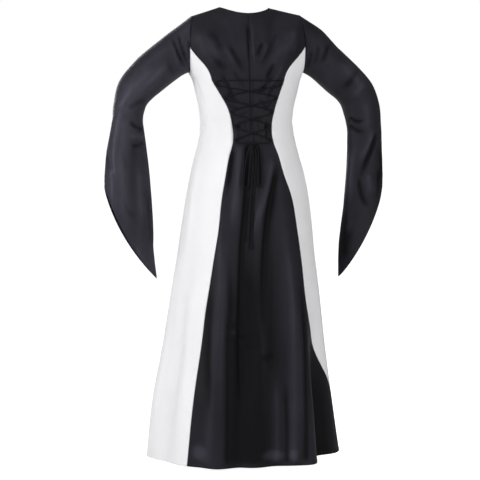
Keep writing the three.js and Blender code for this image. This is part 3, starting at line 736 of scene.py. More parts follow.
@dataclass(frozen=True)
class SleeveForm:
    """The surface of one sleeve, in rings from the armhole (0) to the slanted cuff (last).

    The bow is how far back and front swing outwards and down near the cuff, in mm.
    """

    hand: Hand
    table: Table
    bow: float
    bow_from: int = 8
    bow_way: tuple[float, float] = (0.87, 0.49)
    last: int = 12

    def point(self, degrees: np.ndarray, ring: np.ndarray) -> np.ndarray:
        """Places on the sleeve, from the outer edge (0) by the back (90) to the inner edge (180)."""
        angle = np.radians(degrees)
        outer = (1 + np.cos(angle)) / 2
        bow = self.bow * np.sin(angle) ** 2 * smooth_step(ring, self.bow_from, self.last)
        read = {name: self.table.read(name, ring, "ring") for name in SLEEVE_NAMES[1:]}
        x = read["in_x"] + (read["out_x"] - read["in_x"]) * outer + bow * self.bow_way[0]
        y = read["middle"] + read["depth"] * np.sin(angle)
        z = read["in_z"] + (read["out_z"] - read["in_z"]) * outer - bow * self.bow_way[1]
        point = np.stack([self.hand.value * x, y, z], axis=-1)
        share = smooth_step(ring, 0, 1)[..., None]
        return ARMHOLES[self.hand].point(degrees) * (1 - share) + point * share

    def normal(self, degrees: np.ndarray, ring: np.ndarray) -> np.ndarray:
        """The way out of the sleeve."""
        before, after = np.maximum(ring - 0.05, 0), np.minimum(ring + 0.05, self.last)
        along = self.point(degrees, after) - self.point(degrees, before)
        around = self.point(degrees + 2, ring) - self.point(degrees - 2, ring)
        return unit(np.cross(along, around) * self.hand.value)


SLEEVES = {
    Hand.LEFT: SleeveForm(Hand.LEFT, SLEEVE_LEFT, 20),
    Hand.RIGHT: SleeveForm(Hand.RIGHT, SLEEVE_RIGHT, 12),
}


# Slight unevenness of the cloth: size of one swell along X, Y and Z in mm, and the seed that draws it
BODY_LONG_SWELL = {"grain": (46, 46, 210), "seed": 3}
BODY_SMALL_SWELL = {"grain": (22, 22, 44), "seed": 5}
SLEEVE_LONG_SWELL = {"grain": (34, 34, 90), "seed": 11}
SLEEVE_SMALL_SWELL = {"grain": (16, 16, 30), "seed": 13}
SHEER_EDGE_SWELL = {"grain": (14, 14, 9), "seed": 17}

# Height of the body's long and small swells at the bodice, and how far each changes down to the skirt, in mm
LONG_SWELL_HEIGHT = (0.5, 1.3)
SMALL_SWELL_HEIGHT = (0.45, -0.2)

# Where the crossed lace holds the cloth down, in mm, each from nothing to its whole pull
LACED_FROM_BELOW = (-436, -424)
LACED_FROM_ABOVE = (218, 228)
LACED_MIDDLE = -9
LACED_HALF_WIDTH = 64
LACED_SIDE_FADE = 8
HANGING_REACH = (-15, -6)

# How the cloth turns in at seams, edges and lines of stitches: depth and width, in mm
SEAM_ROLL = (1.0, 3.2)
EDGE_ROLL = (0.8, 3.0)
HEM_STITCH_ROLL = (0.35, 1.8)
STITCH_ROLL = (0.3, 1.6)
UNDERARM_ROLL = (0.5, 2.4)

# The waves of a seam's pucker: length in mm for one radian, size and phase
PUCKER_WAVES = ((2.3, 1.0, 0.0), (3.7, 0.7, 1.3), (9.1, 0.5, 0.4))
PUCKER_REACH = 9.0


def body_swell(points: np.ndarray, normals: np.ndarray) -> np.ndarray:
    """All creases and the slight unevenness of the body's cloth, as a move along the normals in mm."""
    move = sum(one.push(points, normals) for one in BODY_CREASES)
    skirt = smooth_step(-points[..., 2], 420, 900)
    heights = (LONG_SWELL_HEIGHT, SMALL_SWELL_HEIGHT)
    long_high, small_high = (bodice + change * skirt for bodice, change in heights)
    move = move + soft_noise(points, **BODY_LONG_SWELL) * long_high
    return move + soft_noise(points, **BODY_SMALL_SWELL) * small_high


def eased(grid: np.ndarray, share: np.ndarray, passes: int = 24) -> np.ndarray:
    """A grid whose kinks across its columns are rounded, as cloth rounds them.

    Args:
        grid: one vector for each row and column.
        share: how far each of them may be eased, from 0 to 1.
        passes: how often each is drawn towards its neighbours.

    Returns:
        The eased grid.
    """
    result = grid.copy()
    for _ in range(passes):
        pull = (result[:, :-2] + result[:, 2:]) / 2 - result[:, 1:-1]
        result[:, 1:-1] += pull * share[:, 1:-1, None] / 2
    return result


def lace_bed(points: np.ndarray, normals: np.ndarray) -> np.ndarray:
    """How much the lace holds the cloth down, from 0 to 1: under the crossings and under what hangs free."""
    x, z = points[..., 0], points[..., 2]
    inside = LACED_HALF_WIDTH - np.abs(x - LACED_MIDDLE)
    level = smooth_step(z, *LACED_FROM_BELOW) * smooth_step(-z, *LACED_FROM_ABOVE)
    level = level * smooth_step(inside, 0, LACED_SIDE_FADE)
    for route in HANGING.values():
        for across, _, height in route:
            away = np.hypot(x - across, (z - height) * 0.7)
            level = np.maximum(level, smooth_step(-away, *HANGING_REACH))
    return level * (normals[..., 1] > 0)


def sleeve_swell(points: np.ndarray, normals: np.ndarray) -> np.ndarray:
    """All creases and the slight unevenness of a sleeve's cloth, as a move along the normals in mm."""
    move = sum(one.push(points, normals) for one in SLEEVE_CREASES)
    move = move + soft_noise(points, **SLEEVE_LONG_SWELL) * 1.1
    return move + soft_noise(points, **SLEEVE_SMALL_SWELL) * 0.4


def painted_see_through_light(points: np.ndarray, normals: np.ndarray) -> np.ndarray:
    """How much painted light shows through the see-through cloth at each point, from 0 to 1, with uneven
    edges.
    """
    total = np.zeros(points.shape[:-1])
    ragged = 1 + 0.35 * soft_noise(points, **SHEER_EDGE_SWELL)
    for across, height, wide, high, facing in SEE_THROUGH_LIGHT_PATCHES:
        axis, normal_axis, sign = facing.value
        away = ((points[..., axis] - across) / wide) ** 2 + ((points[..., 2] - height) / high) ** 2
        total += np.exp(-((away * ragged) ** 2)) * (normals[..., normal_axis] * sign > 0)
    return np.clip(total, 0, 1)


def edge_roll(distance: np.ndarray, depth: float, width: float) -> np.ndarray:
    """Cloth that turns in towards a seam or an edge: 0 away from it, and -depth on it."""
    return -depth * (1 - smooth_step(distance, 0, width))


def seam_pucker(distance: np.ndarray, along: np.ndarray, depth: float) -> np.ndarray:
    """The small ripple that a line of stitches draws into the cloth beside it, uneven along the seam."""
    wave = sum(size * np.sin(along / length + phase) for length, size, phase in PUCKER_WAVES)
    return depth * wave * np.exp(-((distance / PUCKER_REACH) ** 2))


@dataclass
class ClothShell:
    """A thin cloth shell over a grid of outer points, with its UV map in metres and its masks.

    The masks are the seams (0 to 1), the painted shading, which is painted shade (-) in the hollows of folds
    and a painted highlight (+) on their crests, and the painted light that shows through where the cloth is
    see-through (0 to 1).
    """

    name: str
    outer: np.ndarray
    normals: np.ndarray
    uv: np.ndarray
    masks: dict[str, np.ndarray]
    closed: bool = False

    def build(self) -> bpy.types.Object:
        """Make the mesh object of the shell.

        Returns:
            The object, at the origin, with smooth shading and sharp edges.
        """
        height, width = self.outer.shape[:2]
        inner = self.outer - self.normals * CLOTH
        points = np.concatenate([self.outer.reshape(-1, 3), inner.reshape(-1, 3)]) * MM
        corners = self.corners(height, width)
        middle = (height // 2, width // 2)
        across = self.outer[middle[0], middle[1] + 1] - self.outer[middle]
        upward = self.outer[middle[0] + 1, middle[1]] - self.outer[middle]
        if np.cross(across, upward) @ self.normals[middle] < 0:
            corners = corners[:, ::-1]
        row, column, layer = corners[..., 0], corners[..., 1], corners[..., 2]
        index = layer * height * width + row * width + column % width
        mesh = bpy.data.meshes.new(self.name)
        mesh.from_pydata(points.tolist(), [], index.tolist())
        uv_layer = mesh.uv_layers.new(name="Cloth")
        uv_layer.data.foreach_set("uv", (self.uv[row, column] * MM).astype(np.float32).ravel())
        for name, mask in self.masks.items():
            values = mesh.attributes.new(name, "FLOAT", "POINT")
            values.data.foreach_set("value", np.tile(mask.ravel(), 2).astype(np.float32))
        mesh.validate()
        return stand(mesh, 50)

    def corners(self, height: int, width: int) -> np.ndarray:
        """Row, column and layer (0 outer, 1 inner) of each corner of each face."""
        last = width if self.closed else width - 1
        rows, columns = np.meshgrid(np.arange(height - 1), np.arange(last), indexing="ij")
        rows, columns = rows.ravel(), columns.ravel()

        def faces(*steps: tuple[int, int, int]) -> np.ndarray:
            """Faces over the grid from each corner's step along rows, columns and layers."""
            corners = [np.stack([rows + r, columns + c, np.full_like(rows, k)], -1) for r, c, k in steps]
            return np.stack(corners, 1)

        parts = [
            faces((0, 0, 0), (0, 1, 0), (1, 1, 0), (1, 0, 0)),
            faces((0, 0, 1), (1, 0, 1), (1, 1, 1), (0, 1, 1)),
        ]
        run, up = np.arange(last), np.arange(height - 1)
        end = height - 1

        def rim(*steps: tuple[np.ndarray, np.ndarray, int]) -> None:
            """One row of faces along an edge."""
            parts.append(np.stack([np.stack(np.broadcast_arrays(r, c, k), -1) for r, c, k in steps], 1))

        rim((0, run, 0), (0, run, 1), (0, run + 1, 1), (0, run + 1, 0))
        rim((end, run, 0), (end, run + 1, 0), (end, run + 1, 1), (end, run, 1))
        if not self.closed:
            rim((up, 0, 0), (up + 1, 0, 0), (up + 1, 0, 1), (up, 0, 1))
            rim((up, width - 1, 0), (up, width - 1, 1), (up + 1, width - 1, 1), (up + 1, width - 1, 0))
        return np.concatenate(parts)


def pick(piece: bpy.types.Object) -> None:
    """Make a piece the active one and the only one selected."""
    bpy.ops.object.select_all(action="DESELECT")
    piece.select_set(True)
    bpy.context.view_layer.objects.active = piece


def shade(piece: bpy.types.Object, degrees: float) -> None:
    """Shade a piece smooth, apart from edges sharper than an angle."""
    pick(piece)
    bpy.ops.object.shade_smooth_by_angle(angle=math.radians(degrees))
    bpy.ops.object.select_all(action="DESELECT")


def stand(mesh: bpy.types.Mesh, degrees: float) -> bpy.types.Object:
    """Put a mesh in the scene under its own name, shaded smooth up to an angle."""
    piece = bpy.data.objects.new(mesh.name, mesh)
    bpy.context.scene.collection.objects.link(piece)
    shade(piece, degrees)
    return piece


def resize_active(size: tuple[float, ...], place: tuple[float, ...] = (0, 0, 0)) -> None:
    """Resize and move the mesh of the active object, whose own scale and place stay as they are."""
    bpy.ops.object.mode_set(mode="EDIT")
    bpy.ops.mesh.select_all(action="SELECT")
    bpy.ops.transform.resize(value=size)
    bpy.ops.transform.translate(value=place)
    bpy.ops.object.mode_set(mode="OBJECT")


def turn_out(piece: bpy.types.Object) -> None:
    """Make all faces of a closed mesh point outwards."""
    pick(piece)
    bpy.ops.object.mode_set(mode="EDIT")
    bpy.ops.mesh.select_all(action="SELECT")
    bpy.ops.mesh.normals_make_consistent(inside=False)
    bpy.ops.object.mode_set(mode="OBJECT")
    bpy.ops.object.select_all(action="DESELECT")


def seat(piece: bpy.types.Object, slot: str, material: bpy.types.Material, *nodes: str) -> bpy.types.Object:
    """Dress a finished piece and let it stand for its nodes.

    Args:
        piece: the finished object.
        slot: not used.
        material: its finish.
        nodes: the solids it stands for.

    Returns:
        The same piece.
    """
    piece.data.materials.clear()
    piece.data.materials.append(material)
    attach(piece, ROOT)
    if nodes:
        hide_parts(*nodes)
    LOG.info("built %s with %d faces", piece.name, len(piece.data.polygons))
    return piece


def new_group(name: str, inputs: dict[str, float], outputs: tuple[str, ...]) -> bpy.types.NodeTree:
    """An empty shader node group with number inputs and outputs.

    Args:
        name: the group's name.
        inputs: each input with its default value.
        outputs: the outputs.

    Returns:
        The group, with its input and output nodes in it.
    """
    group = bpy.data.node_groups.new(name, "ShaderNodeTree")
    for socket, value in inputs.items():
        made = group.interface.new_socket(name=socket, in_out="INPUT", socket_type="NodeSocketFloat")
        made.default_value = value
    for socket in outputs:
        group.interface.new_socket(name=socket, in_out="OUTPUT", socket_type="NodeSocketFloat")
    group.nodes.new("NodeGroupInput")
    group.nodes.new("NodeGroupOutput")
    return group


class NodeBoard:
    """A node tree with short calls to place and link its nodes."""

    def __init__(self, tree: bpy.types.NodeTree) -> None:
        """Work on one tree."""
        self.tree = tree

    @property
    def shader(self) -> bpy.types.Node:
        """The tree's main shader."""
        return self.tree.nodes["Principled BSDF"]

    def add(self, kind: str, **settings: object) -> bpy.types.Node:
        """Place a node; settings in capitals at the start are inputs, the others are its options."""
        node = self.tree.nodes.new(kind)
        for key, value in settings.items():
            if key[0].isupper():
                node.inputs[key.replace("_", " ")].default_value = value
            else:
                setattr(node, key, value)
        return node

    def link(self, start: bpy.types.NodeSocket, end: bpy.types.NodeSocket) -> None:
        """Join an output to an input."""
        self.tree.links.new(start, end)

    def math(self, operation: str, first: object, second: object = 0.0) -> bpy.types.NodeSocket:
        """A Math node on two values or sockets, and its result."""
        node = self.add("ShaderNodeMath", operation=operation)
        for socket, value in zip(node.inputs, (first, second)):
            if isinstance(value, bpy.types.NodeSocket):
                self.link(value, socket)
            else:
                socket.default_value = value
        return node.outputs[0]

    def add_up(self, first: object, *terms: tuple[bpy.types.NodeSocket, float]) -> bpy.types.NodeSocket:
        """A first value or socket with further sockets added to it, each times its weight."""
        total = first
        for socket, weight in terms:
            total = self.math("ADD", total, self.math("MULTIPLY", socket, weight))
        return total

    def ramp(self, value: bpy.types.NodeSocket, *stops: tuple[float, tuple]) -> bpy.types.NodeSocket:
        """The colour of a value, from the places and colours of a ramp's stops in order."""
        node = self.add("ShaderNodeValToRGB")
        elements = node.color_ramp.elements
        elements[0].position, elements[1].position = stops[0][0], stops[-1][0]
        elements[0].color, elements[1].color = (*stops[0][1], 1), (*stops[-1][1], 1)
        for place, colour in stops[1:-1]:
            elements.new(place).color = (*colour, 1)
        self.link(value, node.inputs[0])
        return node.outputs[0]

    def raise_surface(self, height: bpy.types.NodeSocket, strength: float, distance: float) -> None:
        """Let a height stand out of the main shader's surface."""
        bump = self.add("ShaderNodeBump", Strength=strength, Distance=distance)
        self.link(height, bump.inputs["Height"])
        self.link(bump.outputs[0], self.shader.inputs["Normal"])


def new_material(name: str) -> tuple[bpy.types.Material, NodeBoard]:
    """A new material and the board of its nodes."""
    material = bpy.data.materials.new(name)
    material.use_nodes = True
    return material, NodeBoard(material.node_tree)


def weave_group() -> bpy.types.NodeTree:
    """Plain weave over the cloth's UV map: Height of the threads, and Slub, their uneven thickness."""
    tree = new_group("plain_weave", {"Threads": 1400.0}, ("Height", "Slub"))
    board = NodeBoard(tree)
    given, out = tree.nodes["Group Input"], tree.nodes["Group Output"]
    place = board.add("ShaderNodeUVMap", uv_map="Cloth")
    parts = board.add("ShaderNodeSeparateXYZ")
    board.link(place.outputs["UV"], parts.inputs[0])
    waves = []
    for axis in ("X", "Y"):
        turns = board.math("MULTIPLY", parts.outputs[axis], given.outputs["Threads"])
        waves.append(board.math("SINE", board.math("MULTIPLY", turns, math.tau)))
    crossed = board.math("MULTIPLY", waves[0], waves[1])
    board.link(board.math("ADD", board.math("MULTIPLY", crossed, 0.5), 0.5), out.inputs["Height"])
    slubs = []
    for scale in ((60.0, 900.0, 1.0), (900.0, 60.0, 1.0)):
        stretch = board.add("ShaderNodeMapping")
        stretch.inputs["Scale"].default_value = scale
        board.link(place.outputs["UV"], stretch.inputs["Vector"])
        noise = board.add("ShaderNodeTexNoise", Scale=1.0, Detail=2.0)
        board.link(stretch.outputs[0], noise.inputs["Vector"])
        slubs.append(noise.outputs[0])
    board.link(board.math("MULTIPLY", board.math("ADD", slubs[0], slubs[1]), 0.5), out.inputs["Slub"])
    return tree


def bloom_group() -> bpy.types.NodeTree:
    """Slow changes over the cloth: Bloom, soft patches where it is rubbed, and Streak, upright shading."""
    tree = new_group("cloth_bloom", {"Patch": 9.0, "Streak": 14.0}, ("Bloom", "Streak"))
    board = NodeBoard(tree)
    given, out = tree.nodes["Group Input"], tree.nodes["Group Output"]
    place = board.add("ShaderNodeTexCoord")
    noise = board.add("ShaderNodeTexNoise", Detail=3.0, Roughness=0.55)
    board.link(place.outputs["Object"], noise.inputs["Vector"])
    board.link(given.outputs["Patch"], noise.inputs["Scale"])
    board.link(noise.outputs[0], out.inputs["Bloom"])
    stretch = board.add("ShaderNodeMapping")
    stretch.inputs["Scale"].default_value = (1.0, 1.0, 0.12)
    board.link(place.outputs["Object"], stretch.inputs["Vector"])
    streak = board.add("ShaderNodeTexNoise", Detail=2.0)
    board.link(stretch.outputs[0], streak.inputs["Vector"])
    board.link(given.outputs["Streak"], streak.inputs["Scale"])
    board.link(streak.outputs[0], out.inputs["Streak"])
    return tree


def braid_group() -> bpy.types.NodeTree:
    """Braid round a cord over its UV map: Height of the strands, and Gap, the lines between them, where a
    painted shade goes.
    """
    tree = new_group("cord_braid", {"Around": 6.0, "Along": 260.0}, ("Height", "Gap"))
    board = NodeBoard(tree)
    given, out = tree.nodes["Group Input"], tree.nodes["Group Output"]
    place = board.add("ShaderNodeUVMap", uv_map="Cord")
    parts = board.add("ShaderNodeSeparateXYZ")
    board.link(place.outputs["UV"], parts.inputs[0])
    around = board.math("MULTIPLY", parts.outputs["X"], given.outputs["Around"])
    along = board.math("MULTIPLY", parts.outputs["Y"], given.outputs["Along"])
    waves = []
    for operation in ("ADD", "SUBTRACT"):
        turns = board.math(operation, around, along)
        waves.append(board.math("ABSOLUTE", board.math("SINE", board.math("MULTIPLY", turns, math.pi))))
    height = board.math("MULTIPLY", waves[0], waves[1])
    board.link(height, out.inputs["Height"])
    board.link(board.math("SUBTRACT", 1.0, board.math("POWER", height, 0.5)), out.inputs["Gap"])
    return tree


# The masks that a cloth shell carries
MASKS = ("seam", "painted_shading", "see_through_light")


@dataclass(frozen=True)
class ClothFinish:
    """A woven cloth: its deep, plain and raised colours, gloss, sheen and how strongly its threads stand out.

    A seam is darker by seam_dark. The crest of a fold is painted lighter, a painted highlight, and its hollow
    painted darker, a painted shade, by fold_painted_shading; the crest is also glossier by fold_gloss. Where
    the cloth is see-through, the light that shows through it is painted in, lighter by sheer_light. All of
    these are shares.
    """

    name: str
    deep: tuple[float, float, float]
    plain: tuple[float, float, float]
    raised: tuple[float, float, float]
    seam_dark: float
    fold_painted_shading: float
    fold_gloss: float
    sheer_light: float
    roughness: float
    specular: float
    sheen: float
    weave: float
    sheen_roughness: float = 0.45

    def make(self, weave: bpy.types.NodeTree, bloom: bpy.types.NodeTree) -> bpy.types.Material:
        """Make the material.

        Args:
            weave: the group of the cloth's threads.
            bloom: the group of its slow changes.

        Returns:
            The material, with its shader in it.
        """
        material, board = new_material(self.name)
        shader = board.shader
        shader.inputs["Specular IOR Level"].default_value = self.specular
        shader.inputs["Sheen Weight"].default_value = self.sheen
        shader.inputs["Sheen Roughness"].default_value = self.sheen_roughness
        threads = board.add("ShaderNodeGroup", node_tree=weave).outputs
        slow = board.add("ShaderNodeGroup", node_tree=bloom).outputs
        seam, fold, see_through_light = (
            board.add("ShaderNodeAttribute", attribute_name=mask).outputs["Fac"] for mask in MASKS
        )
        mix = board.math("MULTIPLY", slow["Bloom"], 0.55)
        mix = board.add_up(mix, (slow["Streak"], 0.45), (threads["Slub"], 0.25))
        colour = board.ramp(mix, (0.38, self.deep), (0.6, self.plain), (0.88, self.raised))
        shadow = board.math("SUBTRACT", 1.0, board.math("MULTIPLY", seam, self.seam_dark))
        # Painted shading of the colour: painted shade in fold hollows, a painted highlight on crests, and
        # painted light where light shows through the see-through cloth
        painted_fold_light = board.add_up(1.0, (fold, self.fold_painted_shading), (see_through_light, self.sheer_light))
        # Painted shade between the woven threads: the colour is darker where the threads' height is low and
        # lighter on their tops
        crossed = board.add_up(0.9, (threads["Height"], 0.2))
        light = board.math("MULTIPLY", board.math("MULTIPLY", shadow, painted_fold_light), crossed)
        painted_shading = board.add("ShaderNodeVectorMath", operation="SCALE")
        board.link(colour, painted_shading.inputs[0])
        board.link(light, painted_shading.inputs["Scale"])
        board.link(painted_shading.outputs[0], shader.inputs["Base Color"])
        rough = board.add_up(self.roughness - 0.06, (slow["Bloom"], 0.12))
        rough = board.math("SUBTRACT", rough, board.math("MULTIPLY", fold, self.fold_gloss))
        board.link(rough, shader.inputs["Roughness"])
        board.raise_surface(board.add_up(threads["Height"], (threads["Slub"], 0.8)), self.weave, 0.0004)
        return material


# The colour mix node's sockets by number, because several of them have the same name
MIX_SOCKETS = (0, 6, 7)
MIX_COLOUR = 2


@dataclass(frozen=True)
class CordFinish:
    """A braided cord: the colour of its strands, the darker colour of the gaps between them, a painted shade,
    and its gloss.
    """

    name: str
    strand: tuple[float, float, float]
    gap: tuple[float, float, float]
    roughness: float
    specular: float = 0.16

    def make(self, braid: bpy.types.NodeTree) -> bpy.types.Material:
        """Make the material over the braid group."""
        material, board = new_material(self.name)
        shader = board.shader
        shader.inputs["Specular IOR Level"].default_value = self.specular
        pattern = board.add("ShaderNodeGroup", node_tree=braid)
        # Painted shade in the gaps between the strands: the gap colour is darker than the strands
        tint = board.add("ShaderNodeMix", data_type="RGBA")
        factor, first, second = (tint.inputs[index] for index in MIX_SOCKETS)
        first.default_value = (*self.strand, 1)
        second.default_value = (*self.gap, 1)
        board.link(pattern.outputs["Gap"], factor)
        board.link(tint.outputs[MIX_COLOUR], shader.inputs["Base Color"])
        board.link(board.add_up(self.roughness, (pattern.outputs["Gap"], 0.2)), shader.inputs["Roughness"])
        board.raise_surface(pattern.outputs["Height"], 0.8, 0.0006)
        return material


@dataclass(frozen=True)
class ThreadFinish:
    """Sewing thread: one colour, made a little uneven, with a soft gloss."""

    name: str
    colour: tuple[float, float, float]
    roughness: float = 0.55
    specular: float = 0.3

    def make(self) -> bpy.types.Material:
        """Make the material, with its twist as bump."""
        material, board = new_material(self.name)
        shader = board.shader
        shader.inputs["Specular IOR Level"].default_value = self.specular
        place = board.add("ShaderNodeTexCoord")
        noise = board.add("ShaderNodeTexNoise", Scale=900.0, Detail=2.0)
        board.link(place.outputs["Object"], noise.inputs["Vector"])
        dark, light = (tuple(min(c * share, 1) for c in self.colour) for share in (0.75, 1.15))
        board.link(board.ramp(noise.outputs[0], (0, dark), (1, light)), shader.inputs["Base Color"])
        board.link(board.add_up(self.roughness, (noise.outputs[0], 0.2)), shader.inputs["Roughness"])
        board.raise_surface(noise.outputs[0], 0.4, 0.0002)
        return material


BLACK_CLOTH = ClothFinish(
    "black_cloth",
    deep=(0.0106, 0.0098, 0.0138),
    plain=(0.0154, 0.0143, 0.0196),
    raised=(0.0205, 0.0192, 0.0258),
    seam_dark=0.45,
    fold_painted_shading=0.90,
    fold_gloss=0.14,
    sheer_light=1.3,
    roughness=0.50,
    specular=0.10,
    sheen=0.01,
    weave=0.35,
)
WHITE_CLOTH = ClothFinish(
    "white_cloth",
    deep=(0.80, 0.79, 0.80),
    plain=(0.85, 0.845, 0.86),
    raised=(0.88, 0.875, 0.89),
    seam_dark=0.22,
    fold_painted_shading=0.05,
    fold_gloss=0.02,
    sheer_light=0.0,
    roughness=0.72,
    specular=0.30,
    sheen=0.12,
    weave=0.30,
)
BLACK_CORD = CordFinish("black_cord", (0.0098, 0.0096, 0.0120), (0.0025, 0.0025, 0.003), 0.65)
BLACK_THREAD = ThreadFinish("black_thread", (0.020, 0.019, 0.022))
WHITE_THREAD = ThreadFinish("white_thread", (0.78, 0.77, 0.77))


@dataclass
class Wardrobe:
    """All materials of the dress, made once."""

    black: bpy.types.Material = field(init=False)
    white: bpy.types.Material = field(init=False)
    cord: bpy.types.Material = field(init=False)
    black_thread: bpy.types.Material = field(init=False)
    white_thread: bpy.types.Material = field(init=False)

    def __post_init__(self) -> None:
        """Make the shared groups and each material."""
        weave, bloom = weave_group(), bloom_group()
        self.black = BLACK_CLOTH.make(weave, bloom)
        self.white = WHITE_CLOTH.make(weave, bloom)
        self.cord = BLACK_CORD.make(braid_group())
        self.black_thread = BLACK_THREAD.make()
        self.white_thread = WHITE_THREAD.make()


@dataclass
class Stitch:
    """One stitch of sewing thread, modelled once and laid in rows."""

    length: float = 2.6
    width: float = 0.55
    pitch: float = 3.8
    lift: float = 0.1

    def __post_init__(self) -> None:
        """Model the stitch: a small sphere drawn long, flattened below."""
        bpy.ops.object.select_all(action="DESELECT")
        bpy.ops.mesh.primitive_ico_sphere_add(subdivisions=1, radius=0.5)
        piece = bpy.context.active_object
        resize_active((self.length, self.width, self.width))
        self.points = np.array([tuple(v.co) for v in piece.data.vertices])
        self.faces = np.array([tuple(p.vertices) for p in piece.data.polygons])
        bpy.data.meshes.remove(piece.data)

    def row(self, route: np.ndarray, normals: np.ndarray, closed: bool) -> tuple[np.ndarray, np.ndarray]:
        """Stitches along a line on the cloth.

        Args:
            route: points of the line, in mm.
            normals: the way out of the cloth at each point.
            closed: whether the line comes round to its start.

        Returns:
            Points and faces of all the stitches.
        """
        if closed:
            route, normals = np.vstack([route, route[:1]]), np.vstack([normals, normals[:1]])
        run = run_along(route)
        count = max(int(run[-1] / self.pitch), 1)
        places = (np.arange(count) + 0.5) * run[-1] / count

        def read(values: np.ndarray, shift: float = 0) -> np.ndarray:
            """What the line's values are at the stitches, or a little past them."""
            return np.stack([np.interp(places + shift, run, values[:, k]) for k in range(3)], 1)

        along = unit(read(route, 0.5) - read(route, -0.5))
        across = unit(np.cross(unit(read(normals)), along))
        up = np.cross(along, across)
        turned = np.einsum("vk,nkj->nvj", self.points, np.stack([along, across, up], 1))
        points = read(route)[:, None] + up[:, None] * self.lift + turned
        faces = self.faces[None] + (np.arange(count) * len(self.points))[:, None, None]
        return points.reshape(-1, 3), faces.reshape(-1, 3)

    def sew(self, name: str, rows: list[tuple[np.ndarray, np.ndarray, bool]]) -> bpy.types.Object:
        """All rows of stitches of one piece, as one object."""
        points, faces, count = [], [], 0
        for route, normals, closed in rows:
            p, f = self.row(route, normals, closed)
            points.append(p)
            faces.append(f + count)
            count += len(p)
        mesh = bpy.data.meshes.new(name)
        mesh.from_pydata((np.vstack(points) * MM).tolist(), [], np.vstack(faces).tolist())
        return stand(mesh, 80)


def refined(first: float, last: float, count: int, ends: tuple[float, ...] = (0.12, 0.3, 0.55)) -> np.ndarray:
    """Even places from first to last, with closer ones at both ends.

    Args:
        first: the first place.
        last: the last place.
        count: how many even steps there are.
        ends: further places at each end, as shares of one step.

    Returns:
        The places, in order.
    """
    even = np.linspace(0, count, count + 1)
    places = np.unique(np.concatenate([even, ends, count - np.array(ends)]))
    return first + (last - first) * places / count


